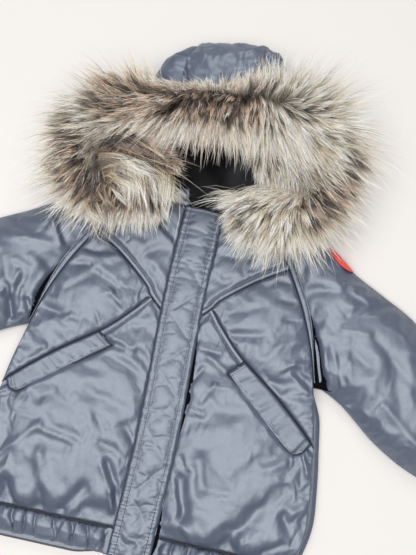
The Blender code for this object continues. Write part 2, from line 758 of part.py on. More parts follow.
def make_tube(name, rings, material):
    """A closed solid through loops of points, with a fan of faces over each end."""
    mesh = bmesh.new()
    loops = [[mesh.verts.new(p * MM) for p in ring] for ring in rings]
    around = len(rings[0])
    for a, b in zip(loops, loops[1:]):
        for i in range(around):
            k = (i + 1) % around
            mesh.faces.new((a[i], a[k], b[k]))
            mesh.faces.new((a[i], b[k], b[i]))
    for loop, ring in ((loops[0], rings[0]), (loops[-1], rings[-1])):
        middle = mesh.verts.new(sum(ring, Vector((0, 0, 0))) / around * MM)
        for i in range(around):
            mesh.faces.new((loop[i], loop[(i + 1) % around], middle))
    bmesh.ops.recalc_face_normals(mesh, faces=mesh.faces)
    data = bpy.data.meshes.new(name)
    mesh.to_mesh(data)
    mesh.free()
    data.materials.append(material)
    data.shade_smooth()
    obj = bpy.data.objects.new(name, data)
    bpy.context.scene.collection.objects.link(obj)
    return obj


def main():
    clear_scene()
    materials = make_materials()
    build_back(materials)
    for side in (1, -1):
        build_front(side, materials)
        sleeve, outer_rows = build_sleeve(side, materials)
        if side > 0:
            build_patch(outer_rows, materials)
    build_hem(materials)
    build_flap_and_zip(materials)
    build_hood(materials)
    build_ruff(materials)


main()
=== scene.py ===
import math

import bmesh
import bpy
import numpy as np
from mathutils import Matrix, Vector


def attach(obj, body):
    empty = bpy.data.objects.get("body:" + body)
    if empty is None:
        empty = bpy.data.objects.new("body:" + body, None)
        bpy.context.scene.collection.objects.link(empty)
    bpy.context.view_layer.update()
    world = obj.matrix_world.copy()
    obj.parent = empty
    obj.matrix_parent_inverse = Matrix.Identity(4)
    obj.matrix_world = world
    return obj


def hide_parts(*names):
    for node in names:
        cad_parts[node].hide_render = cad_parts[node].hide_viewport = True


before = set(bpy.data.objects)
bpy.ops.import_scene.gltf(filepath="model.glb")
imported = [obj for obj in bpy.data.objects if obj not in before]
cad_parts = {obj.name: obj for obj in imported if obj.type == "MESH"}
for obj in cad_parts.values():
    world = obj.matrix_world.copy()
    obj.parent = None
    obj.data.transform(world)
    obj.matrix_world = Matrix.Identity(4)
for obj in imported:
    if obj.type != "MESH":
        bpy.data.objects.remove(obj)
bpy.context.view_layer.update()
scene = bpy.context.scene

# Tables are in millimetres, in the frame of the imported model, and mm turns them into metres
mm = 0.001
cut = {
    "frontUnder": 9.6,
    "underFlap": 17.0,
    "seamTop": 15.5,
    "rise": 11.0,           # padding above the seams
    "zipX": 4.0,
    "neckY": 12.0,
    "backNeckY": 24.0,
    "hemSeamY": -408.0,
    "hemEdgeY": -441.0,
    "flapSides": {1: 31.0, -1: 23.0},
    "flatSides": {1: 35.0, -1: 27.0},   # the hem lies flat below the flap as far as here
    "band": 7.6,            # width of the topstitched seam bands
    "tipY": {1: -131.0, -1: -136.0},    # where the yoke seam runs under the flap
}
# Seam lines on the wearer's left, mirrored for the right
raglanUpper = [(88, 12), (110, -17), (129, -45)]
raglanLower = [(129, -45), (154, -90), (175, -140), (187, -182)]
raglanBack = [(80, 24), (110, -14), (146, -68), (172, -128), (187, -182)]
chestSide = [(187, -182), (197, -225), (203, -262)]
lowerSide = [(203, -262), (210, -312), (213, -360), (203, -408)]
yokeSeam = [(50, -103), (82, -76), (105, -60), (129, -45)]
junction = (41.0, -115.5)   # where the pocket seam leaves the yoke seam
pocketSeam = [(60, -138), (91, -169), (145, -209), (189, -247), (203, -262)]
shoulderFold = [(90, 32), (128, 21), (166, 4), (212, -29), (258, -53), (304, -78), (388, -141),
                (471, -202)]
underarmFold = [(187, -182), (229, -203), (282, -243), (340, -271), (423, -289)]


def smooth(t):
    t = np.clip(t, 0, 1)
    return t * t * (3 - 2 * t)


def alongCurve(points, t):
    p = np.asarray(points, float)
    last = len(p) - 1
    at = np.clip(t, 0, 1) * last
    i = np.minimum(at.astype(int), last - 1)
    f = (at - i)[:, None]
    ends = np.vstack([2 * p[0] - p[1], p, 2 * p[-1] - p[-2]])
    a, b, c, d = ends[i], ends[i + 1], ends[i + 2], ends[i + 3]
    return 0.5 * (2 * b + (c - a) * f + (2 * a - 5 * b + 4 * c - d) * f * f
                  + (3 * b - a - 3 * c + d) * f ** 3)


def runsOf(line):
    steps = np.linalg.norm(np.diff(line, axis=0), axis=1)
    return np.concatenate([[0.0], np.cumsum(steps)])


def evenLine(points, count):
    dense = alongCurve(points, np.linspace(0, 1, 24 * len(points) + 1))
    runs = runsOf(dense)
    want = np.linspace(0, runs[-1], count + 1)
    return np.column_stack([np.interp(want, runs, dense[:, k]) for k in range(dense.shape[1])])


def straight(a, b, count):
    return np.linspace(a, b, count + 1)


def sideName(side):  # the wearer's left is +X
    return "left" if side > 0 else "right"


def sided(line, side):
    line = np.array(line, float)
    line[:, 0] *= side
    return line


def coonsPatch(top, bottom, left, right):
    u = np.linspace(0, 1, len(top))[None, :, None]
    v = np.linspace(0, 1, len(left))[:, None, None]
    ruled = top[None] * (1 - v) + bottom[None] * v + left[:, None] * (1 - u) + right[:, None] * u
    upper = top[0] * (1 - u) + top[-1] * u
    lower = bottom[0] * (1 - u) + bottom[-1] * u
    return ruled - upper * (1 - v) - lower * v


def between(top, low, rows):  # a plan grid with straight sides
    return coonsPatch(top, low, straight(top[0], low[0], rows), straight(top[-1], low[-1], rows))


def nearLine(line, p):  # distance to a line in the plane, and how far along it
    line, p = np.asarray(line, float)[:, :2], p[:, :2]
    start, step = line[:-1], np.diff(line, axis=0)
    length = np.maximum((step ** 2).sum(1), 1e-12)
    share = np.clip((((p[:, None] - start) * step).sum(2)) / length, 0, 1)
    off = np.linalg.norm(p[:, None] - start - step * share[..., None], axis=2)
    k = off.argmin(1)
    rows = np.arange(len(p))
    return off[rows, k], runsOf(line)[k] + share[rows, k] * np.sqrt(length[k])


def softNoise(x, y, seed):  # value noise from -1 to 1
    xi, yi = np.floor(x).astype(np.int64), np.floor(y).astype(np.int64)
    fx, fy = smooth(x - xi), smooth(y - yi)

    def corner(a, b):
        h = (a * 374761393 + b * 668265263 + seed * 1442695041) & 0xFFFFFFFF
        h = ((h ^ (h >> 13)) * 1274126177) & 0xFFFFFFFF
        return ((h ^ (h >> 16)) & 0xFFFF) / 32767.5 - 1

    near = corner(xi, yi) * (1 - fx) + corner(xi + 1, yi) * fx
    far = corner(xi, yi + 1) * (1 - fx) + corner(xi + 1, yi + 1) * fx
    return near * (1 - fy) + far * fy


def crumple(x, y, size, seed):  # creases where two warped noises cross zero
    wx = x + 0.6 * size * softNoise(x / size, y / size, seed + 1)
    wy = y + 0.6 * size * softNoise(x / size, y / size, seed + 2)
    ridge = 1 - 2.2 * np.abs(softNoise(wx / size, wy / size, seed + 3))
    return np.clip(ridge, -1, 1)


def addObject(name, data):
    thing = bpy.data.objects.new(name, data)
    scene.collection.objects.link(thing)
    return thing


def meshFrom(name, bm):
    data = bpy.data.meshes.new(name)
    bm.to_mesh(data)
    bm.free()
    return data


def pieceFrom(name, data, material):
    data.materials.append(material)
    data.shade_smooth()
    piece = addObject(name, data)
    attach(piece, "root")
    return piece


def meshPiece(name, bm, material):
    return pieceFrom(name, meshFrom(name, bm), material)


def gridMesh(points, closed=False):  # rows x columns x 3, in millimetres
    rows, columns = points.shape[:2]
    bm = bmesh.new()
    bm.loops.layers.uv.new("cloth")
    bmesh.ops.create_grid(bm, x_segments=columns - 1, y_segments=rows - 1, size=1, calc_uvs=True)
    for v in bm.verts:
        i = round((v.co.x + 1) / 2 * (columns - 1))
        j = round((1 - v.co.y) / 2 * (rows - 1))
        v.co = points[j, i] * mm
    if closed:
        bmesh.ops.remove_doubles(bm, verts=bm.verts, dist=1e-6)
    bm.normal_update()
    return bm


def upMesh(points):  # a grid that faces up
    bm = gridMesh(points)
    if sum(f.normal.z * f.calc_area() for f in bm.faces) < 0:
        bmesh.ops.reverse_faces(bm, faces=bm.faces)
    return bm


def extrudeEdges(bm, edges):  # the new vertices and edges on the far side
    made = bmesh.ops.extrude_edge_only(bm, edges=edges)["geom"]
    return [[g for g in made if isinstance(g, kind)] for kind in (bmesh.types.BMVert, bmesh.types.BMEdge)]


def turnEdgesDown(bm, low):  # the seam allowance, turned down to the layer below
    under, _ = extrudeEdges(bm, [e for e in bm.edges if e.is_boundary])
    for v in under:
        v.co.z = low * mm
    return under


def laidPiece(name, points, low, material):
    bm = upMesh(points)
    turnEdgesDown(bm, low)
    return meshPiece(name, bm, material)


def places(verts):
    return np.array([v.co[:] for v in verts]) / mm


def setHeights(bm, z):
    for v, height in zip(bm.verts, z):
        v.co.z = height * mm


clothWork = {
    "scale": 10.0,          # Blender's cloth works best on sheets of metres
    "frames": 16,
    "settings": {
        "quality": 5, "mass": 0.3, "air_damping": 1,
        "tension_stiffness": 15, "compression_stiffness": 15, "shear_stiffness": 5,
        "bending_stiffness": 0.3,
        "tension_damping": 5, "compression_damping": 5, "shear_damping": 5,
    },
}


def settle(bm, pins, grow, pressure, cap=6.0, keep=1.0):
    # Cloth with a little too much length for its outline: it wrinkles as a sewn panel does
    size, frames = clothWork["scale"], clothWork["frames"]
    data = bpy.data.meshes.new("work")
    bm.verts.index_update()
    bmesh.ops.scale(bm, vec=(size, size, size), verts=bm.verts)
    bm.to_mesh(data)
    bmesh.ops.scale(bm, vec=(1 / size, 1 / size, 1 / size), verts=bm.verts)
    work = addObject("work", data)
    group = work.vertex_groups.new(name="pin")
    for index, weight in enumerate(pins):
        if weight > 0:
            group.add([index], float(weight), "REPLACE")
    cloth = work.modifiers.new("cloth", "CLOTH")
    for key, value in clothWork["settings"].items():
        setattr(cloth.settings, key, value)
    cloth.settings.vertex_group_mass = "pin"
    cloth.settings.shrink_min = -grow
    cloth.settings.use_pressure = True
    cloth.settings.uniform_pressure_force = pressure
    cloth.settings.effector_weights.gravity = 0
    cloth.collision_settings.use_collision = False
    cloth.point_cache.frame_start = 1
    cloth.point_cache.frame_end = frames
    for number in range(1, frames + 1):
        scene.frame_set(number)
    done = work.evaluated_get(bpy.context.evaluated_depsgraph_get()).data
    moved = np.empty(len(done.vertices) * 3)
    done.vertices.foreach_get("co", moved)
    moved = moved.reshape(-1, 3) / size
    bpy.data.objects.remove(work)
    bpy.data.meshes.remove(data)
    scene.frame_set(1)
    for v, p in zip(bm.verts, moved):
        step = Vector(p) - v.co
        if step.length > cap * mm:
            step *= cap * mm / step.length
        v.co += step * keep


class Wire:
    # A node socket that takes part in Python arithmetic
    def __init__(self, tree, socket):
        self.tree, self.socket = tree, socket

    def math(self, operation, other, clamp=False):
        settings = {"operation": operation, "use_clamp": clamp}
        return node(self.tree, "ShaderNodeMath", settings, [self, other])

    def __add__(self, other):
        return self.math("ADD", other)

    def __sub__(self, other):
        return self.math("SUBTRACT", other)

    def __mul__(self, other):
        return self.math("MULTIPLY", other)

    def __pow__(self, other):
        return self.math("POWER", other)


def node(tree, kind, settings=None, values=(), output=0):
    made = tree.nodes.new(kind)
    for key, value in (settings or {}).items():
        setattr(made, key, value)
    for key, value in values.items() if isinstance(values, dict) else enumerate(values):
        if isinstance(value, Wire):
            tree.links.new(value.socket, made.inputs[key])
        elif value is not None:
            made.inputs[key].default_value = value
    return Wire(tree, made.outputs[output])


def newMaterial(name, fixed):
    material = bpy.data.materials.new(name)
    material.use_nodes = True
    shader = material.node_tree.nodes["Principled BSDF"]
    for key, value in fixed.items():
        shader.inputs[key].default_value = value
    return material, material.node_tree, shader


def feed(shader, **wires):
    names = {"colour": "Base Color", "roughness": "Roughness", "normal": "Normal"}
    for key, wire in wires.items():
        wire.tree.links.new(wire.socket, shader.inputs[names[key]])


def objectPlace(tree):
    return node(tree, "ShaderNodeTexCoord", output=3)


def noise(tree, scale, detail=2.0):
    values = {"Vector": objectPlace(tree), "Scale": scale, "Detail": detail}
    return node(tree, "ShaderNodeTexNoise", None, values)


def ribs(tree, scale, way):
    values = {"Vector": objectPlace(tree), "Scale": scale}
    return node(tree, "ShaderNodeTexWave", {"bands_direction": way}, values)


def bump(height, strength, distance, under=None):
    values = {"Strength": strength, "Distance": distance, "Height": height, "Normal": under}
    return node(height.tree, "ShaderNodeBump", None, values)


def mixColours(share, a, b):
    return node(share.tree, "ShaderNodeMix", {"data_type": "RGBA"}, {"Factor": share, 6: a, 7: b}, 2)


def pastX(tree, start, sharpness):  # from 0 to 1 where x, in metres, passes start
    across = node(tree, "ShaderNodeSeparateXYZ", None, {"Vector": objectPlace(tree)})
    return (across - start).math("MULTIPLY", sharpness, clamp=True)


nylon = {
    "dark": (0.062, 0.080, 0.128, 1),
    "light": (0.092, 0.114, 0.174, 1),
    "roughness": 0.43,
    "weave": 2400.0 / 6.28,     # threads a metre, as Blender counts waves
    "grain": 260.0,             # fine crumple a metre
}


def makeNylon():
    satin = {"Specular IOR Level": 1.0, "IOR": 1.78, "Specular Tint": (0.86, 0.93, 1.0, 1)}
    material, tree, shader = newMaterial("nylon", satin)
    cloudy, fine = noise(tree, 14.0, 3.0), noise(tree, nylon["grain"], 3.0)
    colour = mixColours(cloudy * 0.8 + fine * 0.2, nylon["dark"], nylon["light"])
    weave = ribs(tree, nylon["weave"], "X") * 0.5 + ribs(tree, nylon["weave"], "Y") * 0.5
    normal = bump(fine, 0.35, 0.0006, bump(weave, 0.25, 0.00004))
    feed(shader, colour=colour, roughness=fine * 0.12 + (nylon["roughness"] - 0.06), normal=normal)
    return material


def makeThread():
    fixed = {"Base Color": (0.012, 0.013, 0.017, 1), "Sheen Weight": 0.3}
    material, tree, shader = newMaterial("thread", fixed)
    feed(shader, roughness=noise(tree, 1500.0) * 0.3 + 0.4)
    return material


def makeOverlock():
    material, tree, shader = newMaterial("overlock thread", {"Sheen Weight": 0.2})
    twist = noise(tree, 1200.0)
    colour = mixColours(twist, (0.07, 0.055, 0.045, 1), (0.20, 0.17, 0.145, 1))
    feed(shader, colour=colour, roughness=twist * 0.2 + 0.6)
    return material


def makeLining():  # black, with painted light: a little greyer on the wearer's left where light falls in
    material, tree, shader = newMaterial("lining satin", {"Specular IOR Level": 0.16})
    cloudy, fine = noise(tree, 30.0), noise(tree, 300.0)
    black = mixColours(cloudy, (0.002, 0.002, 0.003, 1), (0.006, 0.006, 0.008, 1))
    # Painted light: the grey where the cloudy pattern is high, laid on the wearer's left only, stands for the
    # satin catching light
    grey = mixColours(cloudy ** 2, (0.004, 0.004, 0.006, 1), (0.13, 0.135, 0.16, 1))
    colour = mixColours(pastX(tree, 0.018, 60.0), black, grey)
    feed(shader, colour=colour, roughness=fine * 0.15 + 0.38, normal=bump(fine, 0.3, 0.0004))
    return material


def makePaintedShade():  # painted shade: near-black cloth laid in the unlit inside of the slit, in the gap beside the flap and on the underarm tab
    material, tree, shader = newMaterial("painted shade black", {"Specular IOR Level": 0.04})
    fuzz = noise(tree, 500.0)
    colour = mixColours(fuzz, (0.0015, 0.0015, 0.002, 1), (0.007, 0.007, 0.010, 1))
    feed(shader, colour=colour, roughness=fuzz * 0.1 + 0.85)
    return material


def makeTape():
    material, tree, shader = newMaterial("zip tape", {"Sheen Weight": 0.2})
    rib = ribs(tree, 200.0, "Y")
    colour = mixColours(rib, (0.018, 0.018, 0.022, 1), (0.035, 0.035, 0.042, 1))
    feed(shader, colour=colour, roughness=rib * 0.1 + 0.6, normal=bump(rib, 0.4, 0.0002))
    return material


def makeTeeth():
    material, tree, shader = newMaterial("zip teeth", {"Base Color": (0.03, 0.03, 0.034, 1)})
    feed(shader, roughness=noise(tree, 400.0) * 0.3 + 0.25)
    return material


def makePatchCloth():
    material, tree, shader = newMaterial("red twill", {"Sheen Weight": 0.3})
    twill, cloudy = ribs(tree, 350.0, "DIAGONAL"), noise(tree, 120.0)
    colour = mixColours(twill * 0.5 + cloudy * 0.5, (0.80, 0.052, 0.050, 1), (0.98, 0.115, 0.105, 1))
    feed(shader, colour=colour, roughness=cloudy * 0.2 + 0.55, normal=bump(twill, 0.5, 0.0002))
    return material


def makeFurCloth():
    material, tree, shader = newMaterial("fur", {"Roughness": 0.42, "Specular IOR Level": 0.7})
    feed(shader, colour=node(tree, "ShaderNodeAttribute", {"attribute_name": "fur colour"}))
    return material


def makeHide():  # dark brown, darkened to near black as painted shade deep among the locks, and grey below the paler lobe on the wearer's left
    material, tree, shader = newMaterial("underfur", {"Specular IOR Level": 0.2})
    fuzz = noise(tree, 900.0)
    dark = mixColours(fuzz, (0.010, 0.007, 0.006, 1), (0.040, 0.028, 0.022, 1))
    grey = mixColours(fuzz, (0.11, 0.092, 0.075, 1), (0.26, 0.215, 0.17, 1))
    colour = mixColours(pastX(tree, 0.035, 22.0), dark, grey)
    feed(shader, colour=colour, roughness=fuzz * 0.1 + 0.8, normal=bump(fuzz, 0.6, 0.001))
    return material


view = {
    "target": (0.027, -0.077, 0.020),
    "roll": 12.0,
    "height": 83.0,         # degrees above the floor
    "distance": 0.8,
    "perPixel": 0.0013,     # metres a pixel at the target
    "pictureHeight": 555,
    "sensor": 36.0,
}


def makeCamera():
    roll, lift = math.radians(view["roll"]), math.radians(view["height"])
    right = Vector((math.cos(roll), math.sin(roll), 0))
    down = Vector((math.sin(roll), -math.cos(roll), 0))
    back = Vector((0, 0, math.sin(lift))) + down * math.cos(lift)
    data = bpy.data.cameras.new("camera")
    data.sensor_fit = "VERTICAL"
    data.sensor_height = view["sensor"]
    data.lens = view["distance"] / view["perPixel"] * view["sensor"] / view["pictureHeight"]
    data.clip_start = 0.01
    camera = addObject("camera", data)
    turn = Matrix((right, back.cross(right), back)).transposed().to_4x4()
    camera.matrix_world = Matrix.Translation(Vector(view["target"]) + back * view["distance"]) @ turn
    scene.camera = camera


studio = {
    # name: place, aimed at, size, power, colour
    "softbox": ((-0.30, -0.55, 2.0), (-0.30, -0.549, 0), (2.8, 1.75), 45.5, (1.0, 0.99, 0.98)),
    "side": ((0.1, 1.7, 1.5), (0.1, 0.0, 0), (0.9, 0.9), 10.0, (1.0, 1.0, 1.0)),
}
sky = {"Color": (1.0, 0.995, 0.985, 1), "Strength": 0.27}
paper = {"Base Color": (0.860, 0.838, 0.816, 1), "Roughness": 0.9, "Specular IOR Level": 0.1}


def makeStudio():
    for name, (place, aim, size, power, colour) in studio.items():
        data = bpy.data.lights.new(name, "AREA")
        data.shape = "RECTANGLE"
        data.size, data.size_y = size
        data.energy = power
        data.color = colour
        light = addObject(name, data)
        light.location = place
        light.rotation_euler = (Vector(aim) - Vector(place)).to_track_quat("-Z", "Y").to_euler()
    world = bpy.data.worlds.new("studio")
    world.use_nodes = True
    for key, value in sky.items():
        world.node_tree.nodes["Background"].inputs[key].default_value = value
    scene.world = world
    scene.view_settings.view_transform = "Standard"

    bm = bmesh.new()
    bmesh.ops.create_grid(bm, x_segments=1, y_segments=1, size=4.0)
    data = meshFrom("floor", bm)
    data.materials.append(newMaterial("paper", paper)[0])
    floor = addObject("floor", data)


# Folds that the cloth lies in: a ridge where lift is above 0 and a trough where it is below
folds = [
    # x0, y0, x1, y1, half width, lift
    # lower right front (viewer's left)
    (-163, -380, -159, -403, 10, -6), (-121, -383, -120, -399, 9, -5), (-69, -368, -90, -397, 8, -5),
    (-60, -391, -39, -402, 15, -4), (-54, -335, -37, -362, 4, 3), (-37, -362, -30, -386, 4, 3),
    (-49, -332, -26, -375, 6, -4), (-61, -310, -45, -315, 6, -2.5), (-181, -348, -139, -302, 5, 2),
    (-137, -308, -93, -315, 4, 1.8), (-133, -316, -106, -321, 10, -1.5), (-89, -253, -59, -257, 8, -2),
    (-148, -272, -134, -259, 7, -2), (-37, -285, -21, -301, 5, -2), (-42, -193, -27, -207, 5, -1.8),
    (-74, -279, -60, -297, 4, -1.5), (-161, -333, -134, -334, 8, 1.5), (-131, -341, -115, -376, 8, 2.2),
    (-156, -350, -148, -389, 9, 1.5), (-92, -336, -82, -361, 12, 1.5),
    # left lower
    (64, -307, 74, -336, 9, -3.5), (47, -335, 59, -374, 9, -5), (37, -335, 52, -371, 4, 2),
    (61, -383, 77, -402, 5, 2.5), (147, -347, 130, -377, 11, -5), (118, -379, 119, -403, 11, -4.5),
    (77, -376, 91, -399, 9, 2.5), (133, -385, 136, -398, 5, 3), (180, -349, 196, -376, 7, -3),
    (40, -247, 57, -249, 3.5, 2), (36, -210, 45, -193, 3.5, -1.8), (61, -232, 89, -244, 10, -2),
    (52, -234, 64, -211, 4, 1.6), (64, -211, 82, -211, 4, 1.6), (32, -166, 63, -169, 4, 2.5),
    (49, -177, 79, -193, 4, -2.2), (41, -308, 53, -325, 4, -1.6), (104, -312, 132, -274, 7, 1.4),
    (145, -300, 166, -287, 6, 1.4), (188, -345, 200, -334, 6, 1.6), (164, -394, 183, -383, 5, -2.5),
    (188, -271, 198, -294, 3.5, 2.5),
    # left chest
    (72, -143, 107, -139, 7, -2.5), (123, -87, 142, -86, 4, -1.8), (135, -110, 148, -110, 4, -1.5),
    (118, -60, 133, -62, 3.5, -1.5), (119, -190, 149, -198, 9, -3), (165, -176, 184, -187, 7, -3),
    (156, -177, 181, -195, 4, 1.8), (144, -173, 157, -163, 4, 1.6), (157, -163, 175, -161, 4, 1.6),
    (105, -148, 112, -165, 5, 1.6), (123, -163, 137, -141, 6, 1.5), (137, -141, 160, -133, 6, 1.5),
    (68, -115, 107, -101, 5, -1.2),
    # left sleeve
    (177, -35, 224, -41, 6, -2), (202, -48, 236, -45, 4, 2), (159, -66, 208, -58, 8, -2),
    (212, -69, 246, -62, 5, -1.6), (214, -89, 261, -68, 9, -2.2), (211, -107, 243, -108, 5, 2),
    (212, -142, 222, -177, 3.5, 2), (221, -131, 248, -146, 8, -2.5), (259, -132, 258, -179, 9, 2),
    (293, -116, 304, -160, 8, 2), (278, -137, 297, -189, 8, -2.2), (172, -85, 199, -110, 6, -1.6),
    # right sleeve
    (-191, -40, -171, -74, 3.5, 2.2), (-182, -42, -164, -71, 4, -0.6), (-250, -78, -216, -76, 5, 1.5),
    (-216, -76, -165, -76, 5, 1.5), (-233, -106, -223, -133, 7, 3), (-221, -106, -202, -112, 4, 2),
    (-213, -121, -217, -148, 4, 3), (-219, -159, -213, -178, 4, -5), (-196, -154, -190, -171, 3.5, -4.5),
    (-205, -141, -201, -169, 4, 3), (-204, -98, -186, -109, 4, 2), (-227, -147, -231, -152, 4, 2.5),
    (-213, -148, -205, -173, 4, 2.5), (-189, -149, -183, -168, 3.5, 3), (-236, -64, -198, -59, 9, -2),
    (-247, -88, -227, -89, 7, -1.6),
    # right chest
    (-139, -72, -120, -73, 3.5, -1.8), (-142, -94, -127, -93, 4, -2), (-116, -102, -86, -114, 6, -2.6),
    (-149, -129, -123, -109, 3.5, -1.2), (-106, -88, -76, -98, 7, -1.2), (-102, -127, -91, -122, 4, 1.6),
    (-91, -122, -77, -134, 4, 1.6), (-168, -160, -152, -164, 8, -3.2), (-179, -189, -155, -171, 5, 1.6),
    (-155, -171, -132, -162, 5, 1.6), (-105, -151, -98, -164, 3.5, -1.6), (-186, -230, -160, -205, 4, -1.2),
    # right yoke
    (-53, -14, -22, -41, 5, -4), (-55, -23, -28, -42, 4, 2), (-88, -39, -65, -43, 6, -1.5),
    (-67, -57, -26, -88, 6, 1.4), (-65, -74, -47, -85, 4, -1.2),
    # right lower, top
    (-73, -180, -46, -187, 4, 1.6), (-73, -186, -61, -189, 3.5, -1.5), (-40, -186, -24, -202, 5, -1.5),
    (-58, -208, -40, -215, 7, -1.6), (-81, -166, -37, -132, 3.5, -1.5),
    # left yoke
    (48, -71, 62, -65, 5, 2), (70, -30, 76, -41, 5, -2), (40, -44, 76, -42, 5, -1.5),
]
panel = {
    "cell": 2.3,
    "grow": 0.045,          # length that the cloth has too much
    "pressure": 0.4,
    "keep": 0.55,           # share of the simulated movement that is kept
    "pucker": 0.42,
    "puckerPitch": 6.5,
    "ditch": 0.8,           # gap on each side of a seam
}


def foldLift(p, table=folds, broad=0.95):  # broad: share of its lift that a broad fold keeps
    total = np.zeros(len(p))
    for x0, y0, x1, y1, half, lift in table:
        off, _ = nearLine([(x0, y0), (x1, y1)], p)
        total += lift * (1.0 if half < 5 else broad) * np.exp(-(off / half) ** 2)
    return total


def padding(away, width):
    t = np.clip(away / width, 0, 1)
    return np.sqrt(1 - (1 - t) ** 2)


def frontRails(side, cell):
    tip = (cut["flapSides"][side] - 5.5, cut["tipY"][side])
    yoke = [tip, junction, *yokeSeam]
    pocket = [(tip[0], tip[1] - 1.2), (junction[0] + 0.5, junction[1] - 1.8), *pocketSeam]
    lines = {"yoke": yoke, "pocket": pocket, "raglanUpper": raglanUpper, "raglanLower": raglanLower,
             "chestSide": chestSide, "lowerSide": lowerSide}
    count = {name: max(int(runsOf(evenLine(line, 40))[-1] / cell), 4) for name, line in lines.items()}
    count["pocket"] = count["yoke"] + count["raglanLower"]
    return {name: sided(evenLine(line, count[name]), side) for name, line in lines.items()}


def frontPanels(side, cell):
    # Plan of each panel, and its edges as (line, width of the seam band that lies on it)
    r = frontRails(side, cell)
    flat = side * (cut["flapSides"][side] - 6)
    neck = r["raglanUpper"][0]
    top = np.vstack([r["yoke"], r["raglanLower"][1:]])
    corner = r["lowerSide"][-1]
    band = cut["band"]
    rows = len(r["raglanUpper"]) - 1
    yoke = (straight((flat, cut["neckY"]), neck, len(r["yoke"]) - 1), r["yoke"],
            straight((flat, cut["neckY"]), r["yoke"][0], rows), r["raglanUpper"])
    chest = (top, r["pocket"], straight(top[0], r["pocket"][0], len(r["chestSide"]) - 1), r["chestSide"])
    lower = (r["pocket"], straight((flat, cut["hemSeamY"]), corner, len(r["pocket"]) - 1),
             straight(r["pocket"][0], (flat, cut["hemSeamY"]), len(r["lowerSide"]) - 1), r["lowerSide"])
    return {
        "yoke": (yoke, (0, band, None, 0)),
        "chest": (chest, (0, 0, 0, 0)),
        "lower": (lower, (band, 0, None, 0)),
    }


def frontHeight(p, rails, bands, side):
    away, edge = np.full(len(p), 1e3), np.zeros(len(p))
    for line, band in zip(rails, bands):
        if band is None:
            continue
        off, _ = nearLine(line, p)
        away = np.minimum(away, np.maximum(off - band, 0))
        if band:  # the cloth goes on level past the stitches of a seam band
            past = off - band
            edge = np.maximum(edge, 2.1 * smooth((past + 1.5) / 1.5) * (1 - smooth(past / 12)))
    fromFlap = offFlap(p, side)
    rise = cut["rise"] * (0.52 * padding(away, 5) + 0.36 * smooth(away / 75))
    rise *= 0.35 + 0.65 * smooth(fromFlap / 80)
    # above the hem seam the cloth rolls over and dives to it, deeper at some places
    toHem = p[:, 1] - cut["hemSeamY"]
    roll = 24 + 12 * softNoise(p[:, 0] / 21, p[:, 0] * 0, 71)
    rise *= 1 - 0.75 * (1 - smooth(toHem / roll))
    rise += 3.0 * np.exp(-((toHem - roll - 7) / 13) ** 2) * smooth(fromFlap / 20)
    full = cut["seamTop"] + edge + np.maximum(rise + foldLift(p) * smooth(away / 7), 0)
    clear = smooth((fromFlap + 0.8 - flapGap(p[:, 1], side)) / (3.0 if side < 0 else 4.5))
    return cut["underFlap"] + (full - cut["underFlap"]) * clear, away


def flapGap(y, side):  # width of the dark gap where the flap's edge stands off the front
    places = [-436, -418, -395, -372, -285, -235, -185, -150]
    return np.interp(y, places, [0, 4.5, 4, 0, 0, 5.5, 3, 0]) * (side > 0)


def offFlap(p, side):  # how far outside the flap's edge a place is
    left, right = flapEdges(p[:, 1])
    return p[:, 0] - right if side > 0 else left - p[:, 0]


def inset(points, sides):  # draws a plan grid in from its top, bottom, left and right seam
    amount = panel["ditch"]
    for side, wanted in zip(("top", "bottom", "left", "right"), sides):
        if wanted:
            grid = {"top": points, "bottom": points[::-1], "left": points.swapaxes(0, 1),
                    "right": points.swapaxes(0, 1)[::-1]}[side]
            step = grid[1] - grid[0]
            length = np.maximum(np.linalg.norm(step, axis=1), 0.1)
            grid[0] += step * np.minimum(amount / length, 0.55)[:, None]
    return points


def puckers(p, rails, bands, seed):
    # Short wrinkles that run out from each seam, square to it
    total = np.zeros(len(p))
    for n, (line, band) in enumerate(zip(rails, bands)):
        if band is None:
            continue
        off, run = nearLine(line, p)
        off = np.maximum(off - band, 0)
        phase = run / panel["puckerPitch"] + 0.8 * softNoise(run / 17, off / 40, seed + n)
        strong = 0.6 + 0.6 * softNoise(run / 23, run * 0 + n, seed + 7)
        total += panel["pucker"] * strong * np.sin(2 * math.pi * phase) * smooth(off / 1.5) * np.exp(-off / 7)
    return total


def makeFront(side, materials):
    label = sideName(side)
    for number, (kind, (rails, bands)) in enumerate(frontPanels(side, panel["cell"]).items()):
        seed = 100 + 10 * number + side
        points = inset(coonsPatch(*rails), (kind != "yoke", kind == "chest", False, True))
        bm = upMesh(np.dstack([points, np.zeros(points.shape[:2])]))
        p = places(bm.verts)
        x, y = p[:, 0], p[:, 1]
        z, away = frontHeight(p, rails, bands, side)
        beside = smooth(offFlap(p, side) / 8)
        grain = (softNoise(x / 44, y / 44, seed) * 0.8 + crumple(x, y, 30, seed) * 0.6
                 + crumple(x, y, 13, seed + 5) * 0.4)
        groove = np.zeros(len(p))
        if kind == "lower":
            grain += foldLift(p) * 0.35 + crumple(x, y, 22, seed + 9) * 0.5
            groove = weltGroove(p, side)
        setHeights(bm, z + groove + grain * smooth(away / 12) * beside)
        pins = np.where((away < 1.6) | (beside < 0.05), 1.0, 0.0)
        settle(bm, pins, panel["grow"], panel["pressure"], keep=panel["keep"])
        more = puckers(p, rails, bands, seed) * beside + groove * 0.6
        setHeights(bm, places(bm.verts)[:, 2] + more)
        turnEdgesDown(bm, cut["frontUnder"])
        piece = meshPiece(f"{kind}_{label}_cloth", bm, materials["nylon"])
        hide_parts(f"front_{kind}_{label}")
        # flat size of each panel's cut
        float(areaOf(points) * 1.15)
    print("fronts", side)


def areaOf(points):  # of a plan grid, in square metres
    a = points[1:, 1:] - points[:-1, :-1]
    b = points[1:, :-1] - points[:-1, 1:]
    return float(np.abs(a[..., 0] * b[..., 1] - a[..., 1] * b[..., 0]).sum() / 2) * mm * mm


